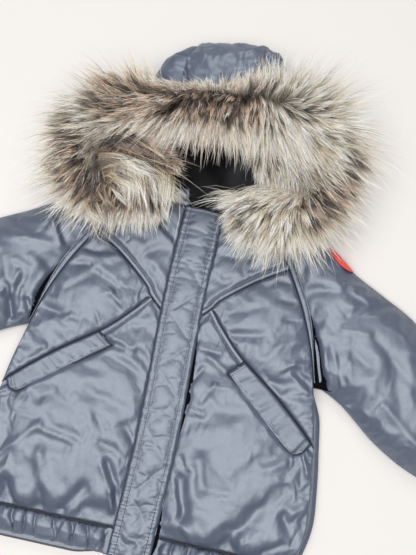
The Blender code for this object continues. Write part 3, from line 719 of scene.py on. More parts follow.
stitch = {"length": 2.4, "gap": 1.2, "thick": 0.7}


def addStitches(bm, line, z, length=stitch["length"], gap=stitch["gap"], thick=stitch["thick"]):
    # line is a plan polyline, z the height at each of its points
    runs = runsOf(line[:, :2])
    line = np.column_stack([line[:, :2], z])
    at = np.arange(length * 0.55, runs[-1] - length * 0.45, length + gap)
    size = Matrix.Diagonal((length / 2, thick / 2, thick / 2, 1))
    for ends in zip(at - length * 0.5, at + length * 0.5):
        p, q = (Vector([np.interp(end, runs, line[:, k]) for k in range(3)]) for end in ends)
        turn = (q - p).to_track_quat("X", "Z").to_matrix().to_4x4()
        place = Matrix.Scale(mm, 4) @ Matrix.Translation((p + q) / 2) @ turn @ size
        bmesh.ops.create_icosphere(bm, subdivisions=1, radius=1, matrix=place)


def signedOff(line, p):  # distance to the left of a line, and the line's own left
    off, run = nearLine(line, p)
    runs, ahead = runsOf(line), np.gradient(line, axis=0)
    at = np.column_stack([np.interp(run, runs, line[:, k]) for k in (0, 1)])
    left = np.column_stack([-np.interp(run, runs, ahead[:, 1]), np.interp(run, runs, ahead[:, 0])])
    left /= np.linalg.norm(left, axis=1)[:, None]
    return off * np.sign(((p - at) * left).sum(1)), left


def offsetLine(line, distance):  # to the left of the line's direction
    line = line[:, :2]
    ahead = np.gradient(line, axis=0)
    ahead /= np.linalg.norm(ahead, axis=1)[:, None]
    return line + np.column_stack([-ahead[:, 1], ahead[:, 0]]) * np.reshape(distance, (-1, 1))


band = {
    "steps": 13,
    "cell": 1.7,
    "low": 15.8,
    "high": 2.4,
    "row": 0.78,            # where the stitches run, as a share of the width
}


def makeBand(name, line, width, seed, materials, threads, stop=None):
    # A flat-felled seam: a strip stitched down along its far edge, a little puckered
    line = evenLine(line, int(runsOf(line)[-1] / band["cell"]))
    if callable(width):
        width = width(line[:, 1])
    sign = 1 if np.mean(width) > 0 else -1
    run = runsOf(line)
    ticks = np.sin(2 * math.pi * (run / 3.7 + 0.7 * softNoise(run / 8, run * 0, seed + 2)))
    rows = []
    for w in np.linspace(0, 1, band["steps"]):
        plan = offsetLine(line, sign * 0.7 + w * (width - sign * 1.0))
        if stop is not None:  # the end is mitred against another seam
            past, left = signedOff(stop, plan)
            past = np.maximum(past * np.sign(stop[-1, 0]) + 0.9, 0) * np.sign(stop[-1, 0])
            plan = plan - left * past[:, None]
        rounded = 1 - (1.0 if w < 0.5 else 0.12) * abs(2 * w - 1) ** 6
        crown = rounded * (1 - 0.26 * np.exp(-((w - band["row"]) / 0.08) ** 2))
        wrinkle = (softNoise(run / 4.2, run * 0 + w * 1.3, seed) * 0.25
                   + softNoise(run / 15, run * 0 + w, seed + 1) * 0.35
                   + 0.32 * ticks * np.exp(-((w - 0.85) / 0.25) ** 2))
        rows.append(np.column_stack([plan, band["low"] + crown * (band["high"] + wrinkle)]))
    laidPiece(name, np.array(rows), cut["frontUnder"] + 2, materials["nylon"])
    top = offsetLine(line, width * band["row"])
    if stop is not None:
        top = top[signedOff(stop, top)[0] * np.sign(stop[-1, 0]) < -1]
    addStitches(threads, top, np.full(len(top), band["low"] + band["high"] * 1.04), 2.4, 0.9, 1.1)
    # a dark strip under the stitch row, painted shadow of its groove
    seamShadowLine(name + "_row", top, band["low"] + band["high"] * 0.95, 0.7, materials)


def seamShadowLine(name, line, z, wide, materials):
    # Painted shadow in the ditch of a seam, partly the seam's own thread: a dark thread line drawn tight
    # between two cloths
    line = evenLine(line, max(int(runsOf(line)[-1] / 2.5), 4))
    z = np.atleast_1d(z)
    z = np.interp(np.linspace(0, 1, len(line)), np.linspace(0, 1, len(z)), z)
    rows = [np.column_stack([offsetLine(line, w * wide / 2), z - 0.5 * abs(w)]) for w in (-1, -0.4, 0.4, 1)]
    laidPiece(name, np.array(rows), float(z.min()) - 2.5, materials["thread"])


def makeBands(side, materials, threads):
    label = sideName(side)
    r = frontRails(side, 4.0)
    pocket = sided(evenLine([(26, -101), junction, *pocketSeam], 200), side)
    pocket = pocket[np.abs(pocket[:, 0]) < welt["inner"]]
    for kind, line, width, stop in (("yoke", r["yoke"], cut["band"], None),
                                    ("pocket", pocket, -cut["band"], r["yoke"])):
        makeBand(f"{kind}_band_{label}", line, width * side, 300 + side, materials, threads, stop)
    # Painted shadow lines in the ditch of each seam
    for kind in ("yoke", "pocket", "raglanLower", "raglanUpper"):
        seamShadowLine(f"{kind}_seam_{label}", r[kind], 16.6, 1.5, materials)


welt = {
    "inner": 96.0,          # x of its ends
    "outer": 197.5,
    "fineAlong": 96,
    "fineAcross": 18,
    "length": 138.0,
    "wide": 24.0,
    "innerRows": [1.4, 4.6],    # stitch rows, in from the inner end, the outer end and the lower edge
    "outerRows": [5.5, 8.0],
    "edgeRow": 2.6,
}
# Lower edge of each pocket welt, from its inner end outwards, in each side's own outward x
weltEdge = {
    1: [(78, -192), (99, -212), (124, -233), (149, -255), (169, -270), (183, -277)],
    -1: [(76, -188), (101, -207), (130, -230), (158, -252), (176, -266), (188, -272)],
}


def weltGrid(side):
    seam = evenLine([junction, *pocketSeam], 300)
    seam = seam[(seam[:, 0] > welt["inner"]) & (seam[:, 0] < welt["outer"])]
    top = sided(offsetLine(evenLine(seam, welt["fineAlong"]), -1.2), side)
    low = sided(evenLine(weltEdge[side], welt["fineAlong"]), side)
    t, s = np.linspace(0, 1, welt["fineAcross"] + 1), np.linspace(0, 1, welt["fineAlong"] + 1)
    # the outer end is rounded off towards the lower edge
    trim = 1 - 0.5 * np.clip((s - 0.94) / 0.06, 0, 1) ** 2
    return top[None] + (low - top)[None] * (t[:, None] * trim[None])[..., None], t, s


def weltGroove(p, side):  # the cloth is pressed down round the welt
    plan = weltGrid(side)[0]
    rim = np.vstack([plan[:, 0], plan[-1], plan[::-1, -1]])
    off, _ = nearLine(rim, p)
    middle, _ = nearLine(plan[len(plan) // 2, 7:-7], p)
    return -2.6 * np.exp(-(off / 2.6) ** 2) - 5.0 * (1 - smooth((middle - 6.5) / 4))


def makeWelt(side, materials, threads):
    label = sideName(side)
    plan, t, s = weltGrid(side)
    rails, bands = frontPanels(side, 6.0)["lower"]
    across, along = t[:, None], s[None]
    length, wide = welt["length"], welt["wide"]
    edge = np.minimum(np.minimum(across, 1 - across) * wide, np.minimum(along, 1 - along) * length)
    x = along * length + across * 5
    wrinkle = (softNoise(x / 8, across * 1.2 + x * 0, 41 + side) * 0.75
               + softNoise(x / 3.4, across * 1.0 + x * 0, 43 + side) * 0.3) * smooth(edge / 4)
    below, _ = frontHeight(plan[-1], rails, bands, side)
    z = 20.0 * (1 - across) + np.maximum(below, 20.5)[None] * across + padding(edge, 2.2) * 2.9 + wrinkle
    # Stitched down in grooves: two rows across each end and one along the lower edge
    rows = [along * length - k for k in welt["innerRows"]]
    rows += [(1 - along) * length - k for k in welt["outerRows"]]
    for off in [*rows, (1 - across) * wide - welt["edgeRow"]]:
        z -= 1.1 * np.exp(-off ** 2)
    bm = upMesh(np.dstack([plan, z]))
    under = turnEdgesDown(bm, 0)
    lowZ, _ = frontHeight(places(under), rails, bands, side)
    for v, height in zip(under, lowZ):
        v.co.z = (height - 1.5) * mm
    piece = meshPiece(f"pocket_welt_{label}_cloth", bm, materials["nylon"])
    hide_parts(f"pocket_welt_{label}")
    lower = round((1 - welt["edgeRow"] / wide) * (len(plan) - 1))
    addStitches(threads, plan[lower, 3:-3], z[lower, 3:-3] + 0.35)
    for share in [k / length for k in welt["innerRows"]] + [1 - k / length for k in welt["outerRows"]]:
        column = round(share * (plan.shape[1] - 1))
        addStitches(threads, plan[1:-1, column], z[1:-1, column] + 0.35, 2.0, 0.8, 0.8)
    # Painted shadow: dark strips along the welt's lower edge and its inner end
    seamShadowLine(f"welt_line_{label}", offsetLine(plan[-1], -0.5 * side), z[-1] - 0.6, 1.7, materials)
    seamShadowLine(f"welt_end_line_{label}", offsetLine(plan[:, 0], -0.3 * side), z[:, 0] - 0.6, 1.0, materials)


flap = {
    "cell": 1.6,
    "top": 21.6,
    "edge": 19.2,
    "puff": 2.1,
    "under": 17.8,
    "rows": [(-1, 1.5), (-1, 9.6), (1, 8.0)],       # stitch rows: side, millimetres in from it
    # corners of the zigzag stitching: share of the width, y
    "zigzag": [(0.2, 4), (0.25, -55), (0.92, -95), (0.22, -131), (0.9, -166), (0.2, -202), (0.82, -238),
               (0.2, -277), (0.86, -320), (0.22, -362), (0.8, -400), (0.4, -436)],
}


def flapEdges(y):
    sway = 2.0 * np.sin(y / 62.0)
    return -cut["flapSides"][-1] + sway, cut["flapSides"][1] + sway


def makeFlap(materials, threads):
    top, low = cut["neckY"] - 1, cut["hemEdgeY"]
    width = sum(cut["flapSides"].values())
    ny, nx = int((top - low) / flap["cell"]), int(width / flap["cell"])
    y = np.linspace(top, low, ny + 1)
    left, right = flapEdges(y)
    u = np.linspace(0, 1, nx + 1)[None]
    x = left[:, None] * (1 - u) + right[:, None] * u
    plan = np.dstack([x, np.repeat(y[:, None], nx + 1, 1)])
    p = plan.reshape(-1, 2)
    inY = np.minimum(top - p[:, 1], p[:, 1] - low)
    fromLeft, fromRight = (x - left[:, None]).ravel(), (right[:, None] - x).ravel()
    edge = np.minimum(np.minimum(fromLeft, fromRight), inY)
    z = flap["edge"] + (flap["top"] - flap["edge"]) * padding(edge, 3.0)
    rows = [(fromLeft if side < 0 else fromRight) - off for side, off in flap["rows"]]
    nearest = np.min(np.abs([*rows, inY - 5.0]), axis=0)
    zigzag = np.array([(np.interp(cornerY, y[::-1], left[::-1]) + share * (right[0] - left[0]), cornerY)
                       for share, cornerY in flap["zigzag"]])
    seamOff, _ = nearLine(zigzag, p)
    z += flap["puff"] * padding(nearest, 10) * smooth(edge / 4) * (0.55 + 0.45 * padding(seamOff, 5))
    ripple = softNoise(p[:, 0] / 34, p[:, 1] / 6.5, 63) * (0.12 + 0.85 * smooth((p[:, 1] + 140) / 60))
    nearHem = smooth((-p[:, 1] - 300) / 60)
    ripple += nearHem * (crumple(p[:, 0] * 1.2, p[:, 1], 17, 67) * 1.1 - 1.2)
    z += (ripple + crumple(p[:, 0], p[:, 1], 24, 61) * 0.45) * smooth(nearest / 5)
    bm = upMesh(np.dstack([plan, z.reshape(x.shape)]))
    pins = np.where((nearest < 0.9) | (seamOff < 0.9) | (edge < 1.0), 1.0, 0.0)
    settle(bm, pinsFor(bm, p, pins), 0.015, 1.2, cap=3.0)
    now = places(bm.verts)
    away, run = nearLine(np.column_stack([left + 6.0, y]), now)
    awayRight, _ = nearLine(np.column_stack([right - 8.0, y]), now)
    ticks = np.sin(2 * math.pi * (run / 4.6 + 0.9 * softNoise(run / 9, run * 0, 66)))
    strong = 1 + 0.6 * smooth((-now[:, 1] - 280) / 40)
    lift = (0.42 * np.exp(-(away / 5.5) ** 2) + 0.36 * np.exp(-(awayRight / 5.0) ** 2)) * ticks * strong
    setHeights(bm, np.minimum(now[:, 2] + lift, 26.0))
    turnEdgesDown(bm, flap["under"])
    piece = meshPiece("storm_flap_cloth", bm, materials["nylon"])
    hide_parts("storm_flap")
    for side, off in flap["rows"]:
        line = np.column_stack([(left + off) if side < 0 else (right - off), y])[2:-2]
        height = flap["edge"] + (flap["top"] - flap["edge"]) * float(padding(off, 3.0))
        addStitches(threads, line, np.full(len(line), height + 0.85), 2.6, 0.8, 1.15)
        # a dark strip under each stitch row, painted shadow of its groove
        seamShadowLine(f"flap_row_{round(off)}", line, height + 0.72, 0.8, materials)
    addStitches(threads, evenLine(zigzag, 200), np.full(201, flap["top"] + 0.75), 1.6, 1.4, 0.4)
    # Painted shadow: a near-black strip in the dark gap between the flap's edge and the front
    y = np.linspace(-150, -436, 180)
    edge, wide, z = flapEdges(y)[1] - 3, flapGap(y, 1) + 3, np.full(len(y), flap["under"] + 0.1)
    rows = [np.column_stack([edge + wide * w, y, z]) for w in np.linspace(0, 1, 5)]
    laidPiece("flap_gap_painted_shadow", np.array(rows), 16.5, materials["paintedShade"])
    print("flap")


def pinsFor(bm, p, pins):  # the pins in the order of the mesh's own vertices
    order = {(x, y): pin for (x, y), pin in zip(np.round(p, 3), pins)}
    return [order.get((round(v.co.x / mm, 3), round(v.co.y / mm, 3)), 0.0) for v in bm.verts]


zipper = {
    "tape": 11.0,
    "tapeTop": 14.6,
    "tapeUnder": 13.6,
    "pitch": 2.1,
    "tooth": (2.6, 1.25, 1.5),
    "offset": 0.9,          # of the teeth to either side
}


def makeZip(materials):
    top, low = cut["neckY"] - 4, cut["hemEdgeY"] + 4
    half, rows, columns = zipper["tape"] / 2, 120, 9
    x = cut["zipX"] + np.linspace(-half, half, columns)
    y = np.linspace(top, low, rows)
    z = zipper["tapeTop"] - 0.25 * np.abs(np.linspace(-2, 2, columns))
    x, z = np.repeat(x[None], rows, 0), np.repeat(z[None], rows, 0)
    grid = np.dstack([x, np.repeat(y[:, None], columns, 1), z])
    tape = laidPiece("zip_tape", grid, zipper["tapeUnder"], materials["tape"])
    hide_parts("zip")
    bm = bmesh.new()
    size = Matrix.Diagonal((*zipper["tooth"], 1))
    for k in range(int((top - low) / zipper["pitch"])):
        x = cut["zipX"] + (zipper["offset"] if k % 2 else -zipper["offset"])
        place = Matrix.Translation((x, low + k * zipper["pitch"] + 1, zipper["tapeTop"] + 0.6))
        bmesh.ops.create_cube(bm, size=1, matrix=Matrix.Scale(mm, 4) @ place @ size)
    bmesh.ops.bevel(bm, geom=bm.edges, offset=0.00025, segments=1, affect="EDGES", profile=0.5, material=-1)
    meshPiece("zip_teeth", bm, materials["teeth"])


hem = {
    "seamX": 203,           # half width at the seam
    "edgeX": 196,           # and at the lower edge
    "cellX": 1.5,
    "cellY": 1.9,
    "pitch": 19.0,          # of the gathers
    "deep": 7.6,
    "top": 10.4,
    "crown": 4.6,
    "edge": 7.0,            # how much lower the back's edge hangs on the wearer's right
}


def gathers(x, t, pitch, seed):
    # 0 in a crease to 1 on the crown of a gather, uneven, and drifting from edge to edge
    drift = 0.5 * softNoise(x / 30, t * 1.5, seed)
    phase = x / pitch + 0.22 * np.sin(x / 23.0) + 0.12 * np.sin(x / 9.7 + 1.0) + drift * t
    strong = 0.75 + 0.4 * softNoise(x / pitch / 1.3, t * 0.7, seed + 1)
    return np.abs(np.sin(math.pi * phase)) ** 0.45 * strong


def makeHemFront(side, materials, threads):
    label = sideName(side)
    seamY, edgeY, flatTo = cut["hemSeamY"], cut["hemEdgeY"], cut["flatSides"][side]
    start = cut["zipX"] + side * 6
    seamX, edgeX, tall = hem["seamX"] * side, hem["edgeX"] * side, seamY - edgeY
    nx, ny = int(abs(seamX - start) / hem["cellX"]), int(tall / hem["cellY"])
    plan = between(straight((start, seamY - 0.3), (seamX, seamY - 0.3), nx),
                   straight((start, edgeY), (edgeX, edgeY), nx), ny)
    t = np.linspace(0, 1, ny + 1)[:, None] + plan[..., 0] * 0
    x = plan[..., 0]
    wave = gathers(x, t, hem["pitch"], 81 + side)
    small = gathers(x + 3, t, 5.2, 85 + side)
    pinch = np.maximum(np.exp(-(t / 0.16) ** 2), np.exp(-((1 - t) / 0.2) ** 2))
    rounded = padding(np.minimum(t, 1 - t) * tall, 5)
    crown = (hem["top"] + hem["crown"] * (1 - np.abs(2 * t - 0.8) / 1.2)
             + hem["deep"] * wave * (0.35 + 0.65 * rounded) + 1.1 * small * pinch - 3.2 * (1 - rounded))
    clear = smooth((np.abs(x) - flatTo) / 10)
    z = 15.5 + (crown - 15.5) * clear
    plan[..., 0] += 1.6 * softNoise(x / 6, t * 3, 88) * smooth(np.minimum(t, 1 - t) * 6) * clear
    plan[..., 1] += 1.2 * softNoise(x / 5, t * 0, 89) * clear * t
    bm = upMesh(np.dstack([plan, z]))
    p = places(bm.verts)
    across = np.abs(p[:, 0])
    fixed = (p[:, 1] > seamY - 1.5) | (p[:, 1] < edgeY + 1.5)
    fixed |= (across < flatTo + 3) | (across > hem["edgeX"] - 2)
    settle(bm, fixed.astype(float), 0.07, 1.2, cap=2.5)
    turnEdgesDown(bm, cut["frontUnder"] + 0.2)
    seam = straight((cut["flapSides"][side] * side, seamY), (seamX - side, seamY), 80)
    seam[:, 1] += 0.9 * softNoise(seam[:, 0] / 7, seam[:, 0] * 0, 90)
    # the hem seam's dark line, a painted shadow of the seam's ditch
    seamShadowLine(f"hem_seam_{label}", seam, 17.3, 2.1, materials)
    for k in range(2, len(seam) - 3):  # short upright stitches across the seam
        tick = seam[k] + np.array([(0.4, 1.7), (-0.2, 0), (-0.4, -1.9)]) * (0.7 + 0.5 * math.sin(k * 2.3))
        addStitches(threads, tick, np.full(3, 18.7), 2.6, 3.0, 0.9)
    piece = meshPiece(f"hem_front_{label}_cloth", bm, materials["nylon"])
    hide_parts(f"hem_front_{label}")


def closedSlab(plan, top, low):  # a closed flat form between two heights over the same plan
    bm = upMesh(np.dstack([plan, top]))
    made = bmesh.ops.extrude_face_region(bm, geom=bm.faces[:], use_keep_orig=True)["geom"]
    under = {(a, b): z for (a, b), z in zip(np.round(plan.reshape(-1, 2), 2), low.ravel())}
    for v in (g for g in made if isinstance(g, bmesh.types.BMVert)):
        v.co.z = under[(round(v.co.x / mm, 2), round(v.co.y / mm, 2))] * mm
    bmesh.ops.recalc_face_normals(bm, faces=bm.faces)
    return bm


def makeBack(materials):
    # Rows of the plan lie level, as the raglan and side lines do
    line = np.vstack([evenLine(raglanBack, 26), evenLine([*chestSide, *lowerSide[1:]], 34)[1:]])
    past = 8.0 * smooth((-line[:, 1] - 185) / 45)
    right, left = line + np.column_stack([past, past * 0]), sided(line, -1)
    plan = coonsPatch(straight(left[0], right[0], 70), straight(left[-1], right[-1], 70), left, right)
    x, y = plan[..., 0], plan[..., 1]
    p = plan.reshape(-1, 2)
    away = np.minimum(nearLine(left, p)[0], nearLine(right, p)[0]).reshape(x.shape)
    low = 4.5 * (1 - smooth(away / 16)) + 0.9 * np.clip(crumple(x, y, 34, 91), 0, 1) * smooth(away / 10)
    top = 8.9 - 1.8 * np.exp(-(away / 2.5) ** 2)
    piece = meshPiece("back_cloth", closedSlab(plan, top, np.maximum(low, 0.0)), materials["nylon"])
    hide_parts("back_body")


def makeHemBack(materials):
    columns, rows = 270, 14
    seamY, edgeY = cut["hemSeamY"] - 0.3, cut["hemEdgeY"]
    seamX, edgeX = hem["seamX"], hem["edgeX"]
    low = straight((-edgeX, edgeY), (edgeX + 6, edgeY), columns)
    low[:, 1] -= hem["edge"] * smooth((-30 - low[:, 0]) / 40)
    plan = between(straight((-seamX, seamY), (seamX + 8, seamY), columns), low, rows)
    t = np.linspace(0, 1, rows + 1)[:, None] + plan[..., 0] * 0
    # Overlocked edge that shows below the front hem
    overlock = bmesh.new()
    for n in range(110):
        k, share = divmod(2 + n * 1.05, 1)
        at = low[int(k)] + (low[int(k) + 1] - low[int(k)]) * share
        tick = np.array([at + (-0.9, -0.6), at + (0.2, 1.6), at + (1.3, 4.0)])
        addStitches(overlock, tick, np.full(3, 9.2), 3.6, 3.0, 1.0)
    meshPiece("overlock_stitches", overlock, materials["overlock"])
    under = np.clip(2.4 * (1 - gathers(plan[..., 0], t, hem["pitch"], 95)), 0, 3)
    piece = meshPiece("hem_back_cloth", closedSlab(plan, np.full(t.shape, 8.8), under), materials["nylon"])
    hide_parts("hem_back")


def makeNeckLining(materials):  # the strip of it that shows between the back and the fronts
    x = np.linspace(-62, 62, 60)
    y = np.linspace(cut["backNeckY"] - 0.3, cut["neckY"] + 0.3, 12)
    plan = np.dstack([np.repeat(x[None], 12, 0), np.repeat(y[:, None], 60, 1)])
    z = 10.0 + 0.5 * crumple(plan[..., 0], plan[..., 1], 8, 97)
    piece = meshPiece("neck_lining_cloth", closedSlab(plan, z, z * 0 + 9.35), materials["lining"])
    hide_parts("neck_lining")
    print("back and hems")


sleeve = {"along": 130, "upper": 72, "lower": 30, "grow": 0.02, "pressure": 0.6, "band": 9.5, "middle": 8.5}
# Opening between each raglan band and its sleeve near the armpit: y, width
slits = {
    1: [(-190, 15), (-174, 14), (-146, 10), (-122, 3.5), (-95, 0)],
    -1: [(-182, 0.5), (-170, 3), (-150, 6.5), (-138, 6), (-118, 3), (-97, 0)],
}
# Finer folds on each sleeve, as in folds
sleeveFolds = {
    1: [(200, -130, 250, -215, 5, -2.2), (215, -120, 235, -190, 7, 2.0), (180, -40, 215, -75, 7, 1.8),
        (205, -60, 260, -80, 6, -1.8), (250, -110, 330, -180, 7, -2.0), (275, -190, 340, -240, 6, 2.2)],
    -1: [(-205, -130, -215, -190, 6, -2.6), (-190, -100, -205, -150, 6, 1.8),
         (-225, -150, -240, -210, 5, 2.4), (-180, -30, -190, -60, 5, 2.4), (-172, -32, -180, -64, 5, -0.8),
         (-230, -90, -300, -110, 8, 2.0), (-240, -130, -300, -170, 7, -2.2)],
}


def raglanBand(y):  # the seam band is narrower to see near the armpit, where it turns on edge
    return sleeve["band"] * (1 - 0.74 * smooth((-88 - y) / 80))


def slitWidth(y, side):
    table = np.array(slits[side], float)
    return np.interp(y, table[:, 0], table[:, 1], left=0)


def sleevePlan(side, w, rows):  # rows x len(w) plan points of the upper and lower layer
    fold = np.array([shoulderFold[0]], float)
    upper = np.vstack([fold, evenLine(raglanUpper, 4), evenLine(raglanLower, 8)[1:]])
    lower = np.vstack([fold, evenLine(raglanBack, 12)])
    shoulder, underarm = evenLine(shoulderFold, rows), evenLine(underarmFold, rows)
    keep = np.maximum(1 - np.linspace(0, 13, rows + 1) / 5, 0) ** 1.5
    layers = []
    for raglan in (upper, lower):
        line = alongCurve(raglan, w)
        chord = raglan[0] * (1 - w[:, None]) + raglan[-1] * w[:, None]
        plan = shoulder[:, None] * (1 - w[None, :, None]) + underarm[:, None] * w[None, :, None]
        plan = plan + (line - chord)[None] * keep[:, None, None]
        plan[..., 0] *= side
        layers.append(plan)
    return layers


def sleeveRing(side, raglanLine):  # the upper layer from fold to fold, then the lower one back
    shares = np.linspace(0, 1, sleeve["upper"] + 1)
    wu = (1 - np.cos(np.linspace(0, math.pi, sleeve["upper"] + 1))) / 2 * 0.5 + shares * 0.5
    wl = np.linspace(1, 0, sleeve["lower"] + 1)
    upper, _ = sleevePlan(side, wu, sleeve["along"])
    _, lower = sleevePlan(side, wl, sleeve["along"])
    p, x, y = upper.reshape(-1, 2), upper[..., 0], upper[..., 1]
    near = np.clip(np.minimum(wu, 1 - wu) * 13, 0, 1)[None]
    inBand = np.maximum(nearLine(raglanLine, p)[0].reshape(x.shape) - raglanBand(y), 0)
    rise = 3.0 + 12.0 * smooth((inBand + 8) / 95) + 3.0 * padding(inBand, 20) * (1 - smooth(inBand / 80))
    extra = (foldLift(p) + foldLift(p, sleeveFolds[side], 1.0)).reshape(x.shape)
    extra += crumple(x, y, 34, 121 + side) * 0.7 + crumple(x, y, 13, 123 + side) * 0.3
    pillow = np.maximum(1 - np.abs(2 * wu - 1) ** 2.6, 0)[None] ** 0.6
    z = (sleeve["middle"] + 4.5 * padding(near, 1) + np.where(inBand < 0.5, 2.3, rise) * pillow
         + extra * smooth(near * 1.4) * smooth(inBand / 10))
    under = (sleeve["middle"] * (1 - padding(np.minimum(wl, 1 - wl) * 13, 1)))[None] + lower[..., 0] * 0
    ring = np.concatenate([np.dstack([upper, z]), np.dstack([lower, under])[:, 1:]], axis=1)
    return ring, areaOf(upper) + areaOf(lower)


def makeSleeve(side, materials):
    label = sideName(side)
    raglanLine = sided(np.vstack([evenLine(raglanUpper, 20), evenLine(raglanLower, 40)[1:]]), side)
    ring, around = sleeveRing(side, raglanLine)
    bm = gridMesh(ring, closed=True)
    bmesh.ops.recalc_face_normals(bm, faces=bm.faces)
    q = places(bm.verts)
    fromRaglan, _ = nearLine(raglanLine, q)
    fromCuff, _ = nearLine(ring[-1][:, :2], q)
    fixed = (q[:, 2] < 12.0) | (fromRaglan < raglanBand(q[:, 1])) | (fromCuff < 1.5)
    settle(bm, fixed.astype(float), sleeve["grow"], sleeve["pressure"])
    q = places(bm.verts)
    _, run = nearLine(raglanLine, q)
    off = np.maximum(fromRaglan - raglanBand(q[:, 1]), 0)
    # The sleeve pulls away from the lower end of its seam, and the slit between them lies open
    wide = slitWidth(q[:, 1], side)
    inside = smooth((off + 0.5) / 1.5) * smooth((wide + 1.5 - off) / 2.5) * smooth(wide / 3)
    lift = -9.0 * inside * (off > 0) + 1.6 * np.exp(-((off - wide - 5) / 3.5) ** 2) * smooth(wide / 4)
    # Puckers along the raglan band and the gathered end
    wave = np.sin(2 * math.pi * (run / 6.1 + softNoise(run / 13, run * 0, 5)))
    lift += 0.5 * wave * smooth(off / 2) * np.exp(-off / 7)
    _, run = nearLine(ring[-1][:, :2], q)
    wave = np.sin(2 * math.pi * (run / cuff["pitch"] + softNoise(run / 21, run * 0, 6)))
    lift += 1.5 * wave * np.exp(-fromCuff / 14)
    setHeights(bm, np.where(q[:, 2] > 12.5, np.maximum(q[:, 2] + lift, 12.5), q[:, 2]))
    makeSlit(side, raglanLine, places(bm.verts), materials)
    turnEdgesDown(bm, 9.5)
    piece = meshPiece(f"sleeve_{label}_cloth", bm, materials["nylon"])
    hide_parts(f"sleeve_{label}")
    makeCuff(side, sleevePlan(side, np.array([0.0, 1.0]), 13)[0][-1], materials)
    return raglanLine


def makeSlit(side, raglanLine, cloth, materials):
    # Painted shade: a near-black strip for the dark inside of the slit, and a nylon strip for the edge of the
    # seam allowance that stands in the wider one
    label = sideName(side)
    cloth = cloth[cloth[:, 2] > 12]
    low, high = (-188, -98) if side > 0 else (-180, -100)
    line = evenLine(raglanLine[(raglanLine[:, 1] > low) & (raglanLine[:, 1] < high)], 60)
    inner, wide = raglanBand(line[:, 1]) - 1.2, slitWidth(line[:, 1], side)

    def strip(name, start, end, lift, material):
        grid = []
        for w in np.linspace(0, 1, 7):
            plan = offsetLine(line, side * (start + (end - start) * w))
            gap = ((plan[:, None] - cloth[None, :, :2]) ** 2).sum(2)
            z = cloth[np.argsort(gap, axis=1)[:, :3], 2].mean(1)
            grid.append(np.column_stack([plan, np.minimum(np.maximum(z, 13.2), 17.5) + lift]))
        laidPiece(f"{name}_{label}", np.array(grid), 12.0, material)

    strip("slit", inner, inner + 1.2 + wide, 0.5, materials["paintedShade"])
    if side > 0:
        # the underarm tab is laid in near-black painted shade instead of nylon
        tab = between(straight((186, -176), (202, -174), 8), straight((188, -188), (212, -188), 8), 5)
        z = 14.5 + 0.8 * crumple(tab[..., 0], tab[..., 1], 6, 187)
        laidPiece("armpit_tab", np.dstack([tab, z]), 10.0, materials["paintedShade"])
        middle = inner + 1.2 + wide * 0.5
        keep = smooth((-line[:, 1] - 128) / 12)
        strip("slit_allowance", middle - 1.7 * keep, middle + 1.7 * keep, 1.6, materials["nylon"])


cuff = {
    "pitch": 11.5,
    "around": 130,
    "below": 40,
    "along": (0.875, -0.485),   # the way the left sleeve points
    "length": 38.0,
    "flatRun": 98.0,            # along the cloth from fold to fold
    "middle": 9.5,
    "inside": 20.0,             # how far its open end turns in
}


def makeCuff(side, ends, materials):
    label = sideName(side)
    along = np.array([side * cuff["along"][0], cuff["along"][1]])
    top, low = ends[0] + along * 0.4, ends[1] + along * 0.4
    across = low - top
    steps = np.linspace(0, cuff["length"], 20)
    narrow = np.interp(steps, [0, 13, 26, 38], [0, 0.07, 0.08, 0.06])
    w = np.linspace(0, 1, cuff["around"] + 1)
    wl = np.linspace(1, 0, cuff["below"] + 1)
    run = w * cuff["flatRun"] + 3
    pillow = np.maximum(1 - np.abs(2 * w - 1) ** 3, 0) ** 0.6
    nearFold = np.clip(np.minimum(wl, 1 - wl) * 12, 0, 1)
    rows = []
    for step, n in zip(steps, narrow):
        start, end = top + across * n + along * step, low - across * n + along * step
        t = step / cuff["length"]
        wave = gathers(run, run * 0 + t, cuff["pitch"], 141 + side)
        tight = padding(np.minimum(t, 1 - t) * cuff["length"], 6)
        z = cuff["middle"] + 3.9 * padding(np.minimum(w, 1 - w) * 27, 1)
        z += 5.0 * wave * (0.5 + 0.5 * tight) * pillow
        below = gathers(wl * cuff["flatRun"], wl * 0 + t, cuff["pitch"], 7)
        under = cuff["middle"] * (1 - padding(nearFold, 1)) + 1.2 * (1 - below) * nearFold
        upper = np.column_stack([start + (end - start) * w[:, None], z])
        lower = np.column_stack([start + (end - start) * wl[:, None], np.maximum(under, 0)])
        rows.append(np.vstack([upper, lower[1:]]))
    bm = gridMesh(np.array(rows), closed=True)
    bmesh.ops.recalc_face_normals(bm, faces=bm.faces)
    # The open end turns in to a slit and back inside, and the root is closed to its middle
    endRun = float(np.dot(top + along * (cuff["length"] - 0.1), along)) - 0.5
    rim = [e for e in bm.edges if e.is_boundary and
           all(np.dot(np.array(v.co[:2]) / mm, along) > endRun for v in e.verts)]
    root = [e for e in bm.edges if e.is_boundary and e not in rim]
    slit, slitEdges = extrudeEdges(bm, rim)
    for v in slit:
        v.co.z = (cuff["middle"] + (1.2 if v.co.z > 9.6 * mm else -1.0)) * mm
    for v in extrudeEdges(bm, slitEdges)[0]:
        v.co.xy -= Vector(along) * cuff["inside"] * mm
    for v in extrudeEdges(bm, root)[0]:
        v.co.z = cuff["middle"] * mm
    piece = meshPiece(f"cuff_{label}_cloth", bm, materials["nylon"])
    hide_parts(f"cuff_{label}")


